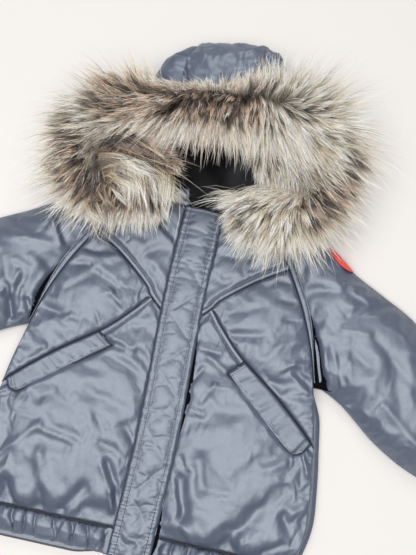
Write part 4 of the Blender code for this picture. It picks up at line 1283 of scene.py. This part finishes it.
hood = {
    "grow": 0.03,
    "pressure": 0.5,
    "puff": 1.8,
    "lean": -4.0,
    "bulge": 28.0,
    "lining": 6.0,          # how far inside the panels it hangs
    "middle": (-0.004, 0.12, 0.026),
}
hoodTucks = [
    # x0, y0, x1, y1, half width, depth, seen from above
    (-64, 195, -51, 160, 2.2, 5.0), (42, 222, 54, 196, 4.0, 5.5), (-40, 208, -20, 172, 7, -2.2),
    (-58, 192, -45, 160, 3, -1.6), (-2, 228, 18, 190, 6, 1.6), (20, 222, 44, 190, 5, -1.4),
    (-62, 186, -30, 206, 4, 1.3), (6, 206, 46, 214, 4, 1.2), (-30, 232, 10, 222, 4, 1.2),
    (-20, 196, 14, 214, 4, -1.2), (30, 196, 60, 204, 4, 1.3),
]
hoodUpper = [(55, 124, 54), (55, 154, 59), (54, 194, 58), (50, 222, 44), (50, 229, 27)]
hoodLower = [(50, 229, 27), (50, 218, 8), (50, 190, 0), (50, 104, 0), (50, 24.1, 0)]
hoodFace = [(55, 124, 54), (68, 116, 52), (76, 98, 49), (77, 72, 45), (70, 48, 40), (56, 28, 33),
            (40, 12.4, 24)]
hoodNeck = [(40, 12.4, 24), (62, 12.6, 24), (80, 15, 23), (78, 24.4, 10), (50, 24.1, 0)]


def hoodGrids(nUpper, nLower, nCentre):
    upper, lower = evenLine(hoodUpper, nUpper), evenLine(hoodLower, nLower)
    face, neck = evenLine(hoodFace, nLower), evenLine(hoodNeck, nUpper)
    sidePanel = coonsPatch(upper, neck, face, lower)
    u = np.linspace(0, 1, nUpper + 1)[None]
    v = np.linspace(0, 1, nLower + 1)[:, None]
    sidePanel[..., 0] += hood["bulge"] * (4 * u * (1 - u)) ** 0.5 * (4 * v * (1 - v)) ** 0.35
    e = np.vstack([upper, lower[1:]])[:, None]
    s = np.linspace(-1, 1, nCentre + 1)[None]
    crown = 1 - s * s
    centre = np.dstack([e[..., 0] * s, e[..., 1] + 5 * (1 - s ** 4) * smooth((e[..., 1] - 190) / 30),
                        e[..., 2] + 3.5 * crown * smooth((e[..., 2] - 8) / 30)])
    grids = {"centre": centre, "side_left": sidePanel, "side_right": sidePanel * np.array([-1, 1, 1])}
    for grid in grids.values():
        far = smooth((grid[..., 1] - 185) / 42)
        grid[..., 0] += hood["lean"] * smooth((grid[..., 1] - 40) / 120) + 4 * far
        grid[..., 1] += (0.13 * grid[..., 0] + 1) * far
        grid[..., 2] = np.maximum(grid[..., 2], 0)
    return grids


def faceOut(bm, middle):
    total = sum((f.calc_center_median() - middle).dot(f.normal) * f.calc_area() for f in bm.faces)
    if total < 0:
        bmesh.ops.reverse_faces(bm, faces=bm.faces)
    bm.normal_update()


def makeHood(materials):
    for number, (kind, grid) in enumerate(hoodGrids(46, 76, 56).items()):
        bm = gridMesh(grid)
        faceOut(bm, Vector(hood["middle"]))
        edge = np.array([v.is_boundary for v in bm.verts])
        q = places(bm.verts)
        rim = np.vstack([grid[0], grid[:, -1], grid[-1][::-1], grid[::-1, 0]])
        off = np.min(np.linalg.norm(q[:, None, :] - rim[None, ::2], axis=2), axis=1)
        x, y, z = q.T
        swell = hood["puff"] * padding(off, 22) + 1.1 * crumple(x + z, y, 16, 161 + number) * smooth(off / 8)
        swell += 0.5 * crumple(x - y * 0.6, y + x * 0.4, 8, 165 + number) * smooth(off / 5)
        swell -= foldLift(q, hoodTucks, 1.0) * smooth((z - 40) / 10)
        for v, amount in zip(bm.verts, swell):
            if v.co.z > 0.5 * mm:
                v.co += v.normal * float(amount) * mm
        settle(bm, (edge | (z < 1.0)).astype(float), hood["grow"], hood["pressure"], cap=4.0)
        for v in bm.verts:
            v.co.z = max(v.co.z, 0.0)
        area = sum(f.calc_area() for f in bm.faces)
        piece = meshPiece(f"hood_{kind}_cloth", bm, materials["nylon"])
        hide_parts(f"hood_{kind}")
        (0.2, 0.36) if kind == "centre" else (0.2, 0.28)


def makeHoodLining(materials):  # one shell inside the three panels
    whole = bmesh.new()
    for grid in hoodGrids(20, 30, 16).values():
        bm = gridMesh(grid)
        faceOut(bm, Vector(hood["middle"]))
        data = meshFrom("lining part", bm)
        whole.from_mesh(data)
        bpy.data.meshes.remove(data)
    bmesh.ops.remove_doubles(whole, verts=whole.verts, dist=2e-4)
    whole.normal_update()
    everyWay = {f"use_axis_{axis}": True for axis in "xyz"}
    bmesh.ops.smooth_vert(whole, verts=whole.verts, factor=0.3, **everyWay)
    whole.normal_update()
    x, y, z = places(whole.verts).T
    for v, crease in zip(whole.verts, crumple(x + 0.4 * z, y, 22, 171)):
        v.co -= v.normal * (hood["lining"] + 2.2 * max(float(crease), 0)) * mm
    bmesh.ops.reverse_faces(whole, faces=whole.faces)
    area = sum(f.calc_area() for f in whole.faces)
    piece = meshPiece("hood_lining_cloth", whole, materials["lining"])
    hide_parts("hood_lining_centre", "hood_lining_side_left", "hood_lining_side_right")
    print("hood")


def makeNeckFacing(materials):
    # The corner of the neck facing that shows inside the wearer's right front, with its hanging loop
    plan = between(straight((-33.0, 31.0), (-22.0, 34.0), 16), straight((-42.0, 13.0), (-17.0, 12.0), 16), 14)
    z = 20.0 + 1.2 * crumple(plan[..., 0], plan[..., 1], 12, 191)
    laidPiece("neck_facing", np.dstack([plan, z]), 16.0, materials["nylon"])
    loop = evenLine([(-31, 34), (-26, 28), (-21, 21), (-17, 13)], 24)
    rows = [np.column_stack([offsetLine(loop, w), np.full(len(loop), 24.0 - abs(w))])
            for w in np.linspace(-0.9, 0.9, 5)]
    laidPiece("neck_loop", np.array(rows), 21.5, materials["nylon"])


def makePatch(materials):
    # A small woven patch folded over the shoulder edge of the left sleeve
    shoulder = evenLine(shoulderFold, 13)
    run = evenLine(shoulder[2:5], 40)[13:]
    lens = np.sin(math.pi * np.linspace(0, 1, len(run))) ** 0.7
    out = np.array([0.42, 0.9])
    rows = []
    for w in np.linspace(-1, 1, 21):   # from the inner edge on top, over the fold, to the underside
        inward = (8.5 if w < 0 else 5.0) * abs(w) ** 1.6 * lens
        lift = 9.6 * padding(inward, 9.0) if w < 0 else -8.0 * padding(inward, 6.0)
        plan = run + out * (1.4 * lens * (1 - w * w) - inward)[:, None]
        rows.append(np.column_stack([plan, 9.3 + lift]))
    bm = gridMesh(np.array(rows))
    bmesh.ops.recalc_face_normals(bm, faces=bm.faces)
    piece = meshPiece("arm_patch_cloth", bm, materials["patch"])
    wall = piece.modifiers.new("wall", "SOLIDIFY")
    wall.thickness = 0.0011
    wall.offset = 0.0
    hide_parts("arm_patch")


furPath = [
    # x, y, centre z, half width inside the loop, outside the loop, half height
    (-44, 4, 44, 12, 14, 13), (-60, 2, 50, 34, 32, 26), (-90, 0, 55, 44, 40, 36),
    (-126, 2, 54, 48, 50, 42), (-158, 22, 50, 40, 54, 44), (-168, 54, 48, 38, 50, 44),
    (-154, 88, 50, 40, 54, 44), (-120, 106, 58, 48, 50, 42), (-80, 114, 72, 54, 48, 34),
    (-36, 120, 82, 46, 48, 30), (4, 124, 84, 49, 48, 30), (44, 132, 82, 56, 56, 32),
    (84, 138, 74, 57, 64, 36), (118, 130, 60, 53, 66, 42), (146, 104, 52, 44, 54, 44),
    (152, 70, 50, 42, 48, 44), (140, 36, 52, 44, 50, 44), (112, 16, 56, 50, 52, 40),
    (80, 8, 56, 48, 48, 34), (54, 4, 50, 30, 34, 25), (40, 6, 44, 12, 14, 13),
]
furTones = {
    # roots, middle, tips; the dark roots are partly the fur's own colour and partly painted shade deep in the
    # fur
    "A": ((0.008, 0.005, 0.004), (0.21, 0.112, 0.074), (1.00, 0.73, 0.56)),     # tan
    "B": ((0.012, 0.008, 0.006), (0.20, 0.122, 0.082), (0.97, 0.71, 0.51)),     # brown
    "C": ((0.10, 0.088, 0.070), (0.46, 0.39, 0.295), (1.00, 0.92, 0.77)),     # grey
    "D": ((0.15, 0.115, 0.080), (0.86, 0.68, 0.475), (1.00, 0.92, 0.745)),       # cream
    "E": ((0.004, 0.003, 0.0025), (0.040, 0.025, 0.019), (0.50, 0.35, 0.26)),   # dark brown
    "paleRim": ((0.30, 0.25, 0.20), (0.95, 0.83, 0.67), (1.0, 0.96, 0.86)),
}
furFlow = [
    # x, y, way the hair lies in degrees from +X, length, tone
    (-169, 130, 142, 55, "C"), (-196, 104, 172, 60, "C"), (-214, 74, 195, 60, "D"), (-205, 50, 198, 55, "D"),
    (-193, 23, 212, 55, "D"), (-183, -5, 216, 55, "D"), (-168, -28, 224, 50, "D"), (-137, -42, 234, 36, "D"),
    (-110, -43, 250, 30, "D"), (-90, -33, 264, 27, "D"), (-68, -22, 280, 27, "D"), (-45, -14, 297, 29, "D"),
    (-31, 16, 312, 36, "D"), (-32, 36, 332, 34, "D"), (-127, 127, 137, 55, "B"), (-105, 140, 117, 50, "B"),
    (-130, 105, 162, 55, "B"), (-104, 102, 177, 50, "B"), (-151, 87, 197, 52, "C"), (-174, 79, 202, 55, "C"),
    (-158, 62, 224, 50, "B"), (-172, 37, 227, 50, "B"), (-161, 13, 237, 48, "E"), (-142, -4, 244, 44, "E"),
    (-125, -21, 244, 34, "B"), (-106, -17, 255, 32, "E"), (-92, 122, 162, 42, "B"), (-74, 116, 202, 38, "B"),
    (-90, 91, 212, 40, "A"), (-79, 102, 212, 38, "A"), (-132, 52, 237, 36, "E"), (-121, 68, 202, 34, "E"),
    (-101, 74, 22, 34, "E"), (-111, 60, 312, 34, "E"), (-77, 57, 4, 46, "E"), (-83, 45, 17, 50, "E"),
    (-112, 29, 32, 50, "B"), (-129, 36, 262, 36, "E"), (-87, 27, 342, 44, "B"), (-64, 36, 332, 42, "B"),
    (-98, 5, 287, 34, "E"), (-79, 6, 282, 36, "B"), (-68, 16, 302, 34, "E"), (-114, 2, 242, 40, "E"),
    (-50, 45, 352, 36, "B"), (-49, 25, 322, 34, "C"), (-49, 4, 297, 36, "D"), (-56, 107, 244, 40, "A"),
    (-36, 96, 256, 32, "A"), (-19, 90, 262, 32, "A"), (-3, 93, 267, 32, "A"), (-58, 81, 234, 34, "A"),
    (-47, 67, 247, 34, "A"), (-27, 67, 255, 34, "A"), (5, 112, 272, 32, "A"), (22, 106, 280, 32, "A"),
    (40, 110, 292, 34, "A"), (-14, 122, 267, 40, "A"), (-34, 143, 132, 10, "E"), (-15, 150, 107, 10, "E"),
    (-15, 162, 107, 12, "A"), (4, 156, 97, 14, "E"), (4, 165, 97, 22, "A"), (19, 169, 100, 24, "A"),
    (38, 170, 92, 28, "B"), (57, 174, 84, 32, "C"), (78, 190, 72, 45, "C"), (90, 210, 70, 60, "C"),
    (-57, 140, 200, 14, "E"), (-64, 145, 162, 18, "A"), (-9, 134, 262, 30, "E"), (-32, 130, 255, 30, "E"),
    (-107, 61, 200, 30, "E"), (-137, 4, 225, 30, "E"), (-97, -5, 250, 28, "E"), (-127, -6, 232, 34, "E"),
    (-91, 4, 250, 30, "E"), (-73, 9, 290, 30, "E"), (-92, 46, 20, 30, "E"), (-71, 50, 355, 30, "E"),
    (-19, 119, 262, 26, "E"), (-3, 126, 265, 26, "E"), (-82, 138, 142, 36, "B"), (-108, 142, 117, 50, "B"),
    (-13, 81, 262, 34, "A"), (10, 86, 270, 34, "A"), (31, 99, 278, 36, "A"), (48, 94, 284, 46, "A"),
    (63, 102, 290, 48, "D"), (79, 99, 300, 48, "D"), (69, 70, 284, 44, "C"), (92, 115, 324, 52, "D"),
    (108, 99, 320, 52, "B"), (122, 130, 340, 54, "D"), (143, 102, 330, 54, "D"), (165, 111, 337, 56, "B"),
    (183, 98, 345, 56, "D"), (171, 140, 0, 60, "D"), (156, 161, 17, 62, "D"), (136, 180, 42, 62, "D"),
    (111, 185, 60, 60, "D"), (88, 178, 74, 55, "C"), (56, 175, 92, 45, "C"), (33, 168, 100, 30, "C"),
    (133, 71, 337, 50, "B"), (158, 63, 350, 48, "E"), (146, 44, 334, 44, "E"), (183, 40, 340, 52, "D"),
    (167, 13, 327, 52, "D"), (151, -7, 310, 50, "D"), (128, -19, 292, 42, "D"), (103, -21, 277, 38, "D"),
    (79, -19, 260, 38, "D"), (55, -16, 245, 42, "D"), (36, -7, 230, 46, "D"), (31, 13, 212, 44, "D"),
    (54, 29, 204, 44, "D"), (83, 39, 200, 44, "D"), (100, 60, 277, 42, "C"), (65, 11, 227, 46, "D"),
    (88, 7, 252, 46, "D"), (112, 13, 277, 44, "D"), (133, 17, 312, 44, "B"), (65, 51, 262, 42, "D"),
    (99, 39, 212, 42, "D"), (108, 157, 32, 50, "D"), (85, 151, 57, 46, "C"), (66, 126, 287, 44, "C"),
    (39, 125, 280, 44, "A"), (137, 135, 352, 54, "D"),
]
fur = {
    "clumps": 5000,
    "strands": 105000,
    "pieces": 6,
    "core": 0.46,           # share of the model's section that the roots stand on
    "long": 0.74,           # of the lengths in the flow table
    "width": 0.46,
    "spread": 3.6,          # millimetres between the hairs of a lock at the roots
    "gather": 0.90,         # how far a lock draws together at its tip
    "reach": 11.0,          # how far each row of the flow table acts
    "limit": 0.98,          # share of the model's section that all but a few hairs stay in
    "curlHairs": 4,         # locks for each row of furCurls
    "curlSpread": (5.0, 5.0, 2.0),
    "seed": 7,
}
furCurlHeights = [80, 90, 91, 83]
furCurls = [
    # tone, and the plan of a pale or dark lock that curls over the right lobe
    ("D", (-125, 8), (-107, 27), (-85, 25), (-76, -7)),
    ("D", (-121, 6), (-107, 15), (-91, 7), (-84, -14)),
    ("D", (-135, 31), (-110, 40), (-81, 34), (-51, 21)),
    ("D", (-131, 24), (-114, 32), (-93, 38), (-65, 35)),
    ("D", (-123, 0), (-111, -3), (-99, -9), (-89, -18)),
    ("A", (-136, 20), (-131, 7), (-125, -9), (-113, -23)),
    ("B", (-111, 68), (-94, 66), (-75, 60), (-56, 48)),
    ("D", (-83, 20), (-71, 11), (-66, -4), (-56, -22)),
    ("D", (-64, 32), (-48, 22), (-43, 6), (-43, -13)),
    ("D", (-117, 13), (-98, 25), (-77, 16), (-68, -10)),
    ("E", (-129, 50), (-114, 59), (-97, 54), (-78, 46)),
    ("D", (-130, -26), (-122, -36), (-113, -42), (-104, -46)),
]
furFill = [
    # x, y, height of the roots, half length, half width, locks: fur over the slit in each lobe
    (-96, 60, 50, 50, 17, 620), (92, 76, 50, 32, 17, 420),
]
hoodTop = [(-60, 28), (10, 29), (32, 38), (54, 46), (78, 52), (100, 57), (124, 62), (300, 64)]


def furFloor(p):  # what the fur has to clear: hood, shoulders, fronts or the bare surface
    x, y = p[..., 0], p[..., 1]
    ys, zs = np.array(hoodTop, float).T
    over = np.interp(y, ys, zs) + 2.0
    shoulder = 30 - 0.42 * np.maximum(np.abs(x) - 96, 0)
    body = 30.0 * (1 - smooth((y - shoulder) / 10))
    beside = smooth((np.abs(x + 2) - 100) / 46)
    return over * (1 - beside) + np.maximum(body, 0.6) * beside


def furFrame(t):  # centre line, outward direction and half sizes at shares t of the path
    table = np.array(furPath, float)
    centre, size = alongCurve(table[:, :3], t), alongCurve(table[:, 3:], t)
    past, before = np.minimum(t + 0.004, 1), np.maximum(t - 0.004, 0)
    ahead = alongCurve(table[:, :3], past) - alongCurve(table[:, :3], before)
    outward = np.column_stack([-ahead[:, 1], ahead[:, 0]])
    outward /= np.linalg.norm(outward, axis=1)[:, None]
    return centre, outward, size


def furSection(t, angle):  # from the centre line to the model's surface
    centre, outward, size = furFrame(t)
    reach = np.where(np.cos(angle) > 0, size[:, 1], size[:, 0]) * np.cos(angle)
    return centre, np.column_stack([outward * reach[:, None], size[:, 2] * np.sin(angle)])


def flowAt(plan, dice):
    x, y, way, length = np.array([row[:4] for row in furFlow], float).T
    off2 = ((plan[:, None] - np.column_stack([x, y])[None]) ** 2).sum(2)
    w = np.exp(-off2 / (2 * fur["reach"] ** 2)) + 1e-9 / (off2 + 25)
    w /= w.sum(1)[:, None]
    way = np.radians(way)
    flow = w @ np.column_stack([np.cos(way), np.sin(way)])
    tones = np.array([furTones[row[4]] for row in furFlow])
    # Each lock takes most of its colour from one row near it, so that the fur is mottled
    pick = (np.cumsum(w, axis=1) < dice.random(len(plan))[:, None]).sum(1).clip(0, len(furFlow) - 1)
    return flow, w @ length, 0.35 * np.einsum("ng,gsc->nsc", w, tones) + 0.65 * tones[pick]


def furLocks(count, dice):  # the middle line of each lock: 4 points, its colours and the way it faces
    fine = np.linspace(0, 1, 400)
    centre, _, size = furFrame(fine)
    weight = np.linalg.norm(np.gradient(centre, axis=0), axis=1) * (size[:, 0] + size[:, 1])
    share = np.cumsum(weight) / weight.sum()
    t = np.interp(dice.random(count), share, fine)
    angle = np.radians(dice.uniform(-38, 218, count))
    centre, section = furSection(t, angle)
    root = centre + section * fur["core"]
    out = section / np.linalg.norm(section, axis=1)[:, None]
    flow, length, colours = flowAt((centre + section * 0.75)[:, :2], dice)
    for x, y, z, halfX, halfY, more in furFill:
        r, a = np.sqrt(dice.random(more)), dice.uniform(0, 2 * math.pi, more)
        extra = np.column_stack([x + halfX * r * np.cos(a), y + halfY * r * np.sin(a), z + 8 * (1 - r * r)])
        root = np.vstack([root, extra])
        out = np.vstack([out, np.column_stack([0.3 * np.cos(a) * r, 0.5 * np.sin(a) * r, np.ones(more)])])
        moreFlow, moreLength, moreColours = flowAt(extra[:, :2], dice)
        flow, length = np.vstack([flow, moreFlow]), np.concatenate([length, moreLength])
        colours = np.concatenate([colours, moreColours])
    count = len(root)
    strength = np.linalg.norm(flow, axis=1)
    swirl = 0.30 * softNoise(root[:, 0] / 24, root[:, 1] / 24, 3) + dice.normal(0, 0.17, count)
    c, s = np.cos(swirl), np.sin(swirl)
    flow = np.column_stack([flow[:, 0] * c - flow[:, 1] * s, flow[:, 0] * s + flow[:, 1] * c])
    flow3 = np.column_stack([flow / np.maximum(strength, 0.2)[:, None], np.zeros(count)])
    length = length * dice.uniform(0.78, 1.18, count) * fur["long"]
    steps, rise = [], dice.uniform(0.75, 1.15, count)
    for outShare, flowShare, sink in ((0.95, 0.55, 0.0), (0.30, 1.0, -0.05), (0.08, 1.0, -0.32)):
        step = out * (outShare * rise)[:, None] + flow3 * flowShare + np.array([0, 0, sink])
        steps.append(step / np.linalg.norm(step, axis=1)[:, None] / 3)
    # Shorten what would reach past the model's section, seen from above
    own = len(t)
    _, outward, size = furFrame(t)
    tip = root + sum(steps) * length[:, None]
    at = [((q[:own] - centre)[:, :2] * outward).sum(1) for q in (root, tip)]
    at = [np.where(a > 0, a / size[:, 1], -a / size[:, 0]) for a in at]
    room = (fur["limit"] * dice.uniform(0.86, 1.1, own) - at[0]) / np.maximum(at[1] - at[0], 1e-3)
    length[:own] *= np.where(at[1] > at[0], np.clip(room, 0.35, 1.0), 1.0)
    points, p = [root], root
    for step in steps:
        p = p + step * length[:, None]
        points.append(p)
    points = np.stack(points, 1)
    # Long locks that curl over the right lobe, as brushed there
    for tone, *guide in furCurls:
        ends = np.column_stack([np.array(guide, float).reshape(4, 2), furCurlHeights])
        many = fur["curlHairs"]
        aside = dice.normal(0, 1, (many, 1, 3)) * np.array(fur["curlSpread"])
        bunch = ends[None] + aside + dice.normal(0, 2.4, (many, 4, 3))
        points = np.concatenate([points, bunch])
        colours = np.concatenate([colours, np.repeat(np.array(furTones[tone])[None], many, 0)])
        out = np.concatenate([out, np.tile((0, 0, 1.0), (many, 1))])
    rim = np.zeros(len(points), bool)
    rim[:own] = at[0] > 0.25
    # Some locks are dimmed to near black, fewer at the rim and among pale tones: partly the fur's own dark
    # locks, partly painted shade in the gaps between locks
    light = colours[:, 2].mean(1) > 0.81
    dim = dice.random(len(points)) < np.where(rim, 0.05, np.where(light, 0.12, 0.38))
    shade = np.exp(dice.normal(0.24, 0.38, len(points)) + 0.1 * rim) * np.where(dim, 0.13, 1.0)
    return points, colours * shade[:, None, None], out, rim


def makeFurHide(materials):  # the core below the hairs, with its short underfur
    t = np.linspace(0, 1, 170)
    rings = []
    for angle in np.linspace(0, 2 * math.pi, 37):
        centre, section = furSection(t, np.full(len(t), angle))
        lump = 0.06 * softNoise(t * 60, t * 0 + angle * 2, 11)
        ends = np.minimum(padding(np.minimum(t, 1 - t), 0.02) + 0.02, 1)
        p = centre + section * ((fur["core"] + 0.04 + lump) * ends)[:, None]
        p[:, 2] = np.maximum(p[:, 2], furFloor(p) + 1)
        rings.append(p)
    bm = gridMesh(np.stack(rings, 0), closed=True)
    bmesh.ops.recalc_face_normals(bm, faces=bm.faces)
    for x, y, z, halfX, halfY, _ in furFill:
        size = Matrix.Diagonal((halfX + 6, halfY + 8, z - 32, 1))
        place = Matrix.Scale(mm, 4) @ Matrix.Translation((x, y, 34)) @ size
        bmesh.ops.create_uvsphere(bm, u_segments=32, v_segments=16, radius=1, matrix=place)
    core = meshPiece("fur_hide", bm, materials["hide"])
    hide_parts("fur_ruff")


def makeFur(materials):
    dice = np.random.default_rng(fur["seed"])
    locks, colours, facing, rim = furLocks(fur["clumps"], dice)
    share = np.array([0, 1 / 3, 2 / 3, 1.0])
    each = fur["strands"] // fur["pieces"]
    for number in range(fur["pieces"]):
        own = dice.integers(0, len(locks), each)
        line = locks[own]
        loner = dice.random(each) < np.where(rim[own], 0.11, 0.02)
        long = dice.uniform(0.72, 1.12, each) * np.where(loner, dice.uniform(1.3, 2.1, each), 1.0)
        line = line[:, :1] + (line - line[:, :1]) * long[:, None, None]
        loose = dice.normal(0, 1, (each, 3)) * fur["spread"] * 0.62
        draw = 1 - fur["gather"] * share ** 0.9
        line = line + loose[:, None] * draw[None, :, None]
        wild = dice.normal(0, 1, (each, 3)) * np.array([1, 1, 0.6])
        wave = dice.normal(0, 1, (each, 3))
        stray = np.where(dice.random(each) < 0.05, 5.0, 1.3)[:, None]
        line = line + (wild * stray)[:, None] * (share ** 1.6)[None, :, None]
        line[:, 1:3] += (wave * 0.9)[:, None]
        low = furFloor(line) + 0.6 + dice.random((each, 1)) * 1.5
        line[..., 2] = np.maximum(line[..., 2], low)
        ahead = np.gradient(line, axis=1)
        ahead /= np.maximum(np.linalg.norm(ahead, axis=2), 1e-6)[..., None]
        face = facing[own][:, None] * 0.4 + np.array([0, -0.15, 1.0]) + dice.normal(0, 0.35, (each, 1, 3))
        across = np.cross(ahead, face)
        across /= np.maximum(np.linalg.norm(across, axis=2), 1e-6)[..., None]
        wide = fur["width"] * dice.uniform(0.55, 1.25, each)[:, None] * np.array([0.7, 0.95, 0.85, 0.14])
        half = across * (wide / 2)[..., None]
        tone = colours[own]
        pale = np.exp(dice.normal(0.10, 0.30, each))[:, None]
        # the hair past the edge of the strip is paler, and some hairs within it are darkened: partly the
        # fur's own dark hairs, partly painted shade among the locks
        bright = rim[own] & (dice.random(each) < 0.82)
        tone[bright] = tone[bright] * 0.4 + np.array(furTones["paleRim"]) * 0.6
        tone[~rim[own] & (dice.random(each) < 0.14), 1:] *= 0.22
        roots, middle, tips = tone.swapaxes(0, 1)
        # the lower third keeps most of the root colour: partly the fur's own dark roots, partly painted shade
        # deep in each lock
        mix = [roots, roots * 0.7 + middle * 0.3, middle * 0.52 + tips * 0.48, tips]
        paint = np.stack([np.clip(m * pale, 0, 0.97) for m in mix], 1)
        makeStrands(f"fur_locks_{number + 1}", line - half, line + half, paint, materials)
        print("fur", number + 1)


def makeStrands(name, left, right, paint, materials):
    # Every other column of one long grid is cut away, and each strip left is a hair
    each, levels = left.shape[:2]
    bm = bmesh.new()
    bmesh.ops.create_grid(bm, x_segments=2 * each - 1, y_segments=levels - 1, size=1)
    columns = 2 * each - 1
    between = [f for f in bm.faces if int((f.calc_center_median().x + 1) / 2 * columns) % 2]
    bmesh.ops.delete(bm, geom=between, context="FACES")
    data = meshFrom(name, bm)
    at = np.empty(len(data.vertices) * 3, np.float32)
    data.vertices.foreach_get("co", at)
    at = at.reshape(-1, 3)
    column = np.round((at[:, 0].astype(float) + 1) / 2 * columns).astype(int)
    level = np.round((1 - at[:, 1]) / 2 * (levels - 1)).astype(int)
    both = np.stack([left, right], 2)
    place = both[column // 2, level, column % 2] * mm
    data.vertices.foreach_set("co", place.astype(np.float32).ravel())
    shade = data.color_attributes.new("fur colour", "FLOAT_COLOR", "POINT")
    rgba = np.column_stack([paint[column // 2, level], np.ones(len(column))])
    shade.data.foreach_set("color", rgba.astype(np.float32).ravel())
    data.update()
    pieceFrom(name, data, materials["fur"])


makeCamera()
makeStudio()
materials = {
    "nylon": makeNylon(),
    "thread": makeThread(),
    "overlock": makeOverlock(),
    "lining": makeLining(),
    "paintedShade": makePaintedShade(),
    "tape": makeTape(),
    "teeth": makeTeeth(),
    "patch": makePatchCloth(),
    "fur": makeFurCloth(),
    "hide": makeHide(),
}
threads = bmesh.new()
for side in (1, -1):
    makeFront(side, materials)
    makeBands(side, materials, threads)
    makeWelt(side, materials, threads)
    makeHemFront(side, materials, threads)
    raglan = makeSleeve(side, materials)
    name = f"raglan_band_{sideName(side)}"
    makeBand(name, raglan, lambda y: raglanBand(y) * side, 330 + side, materials, threads)
    print("side", sideName(side))
makeFlap(materials, threads)
makeZip(materials)
makeBack(materials)
makeHemBack(materials)
makeNeckLining(materials)
makeHood(materials)
makeHoodLining(materials)
makePatch(materials)
makeNeckFacing(materials)
makeFurHide(materials)
makeFur(materials)
meshPiece("seam_stitches", threads, materials["thread"])
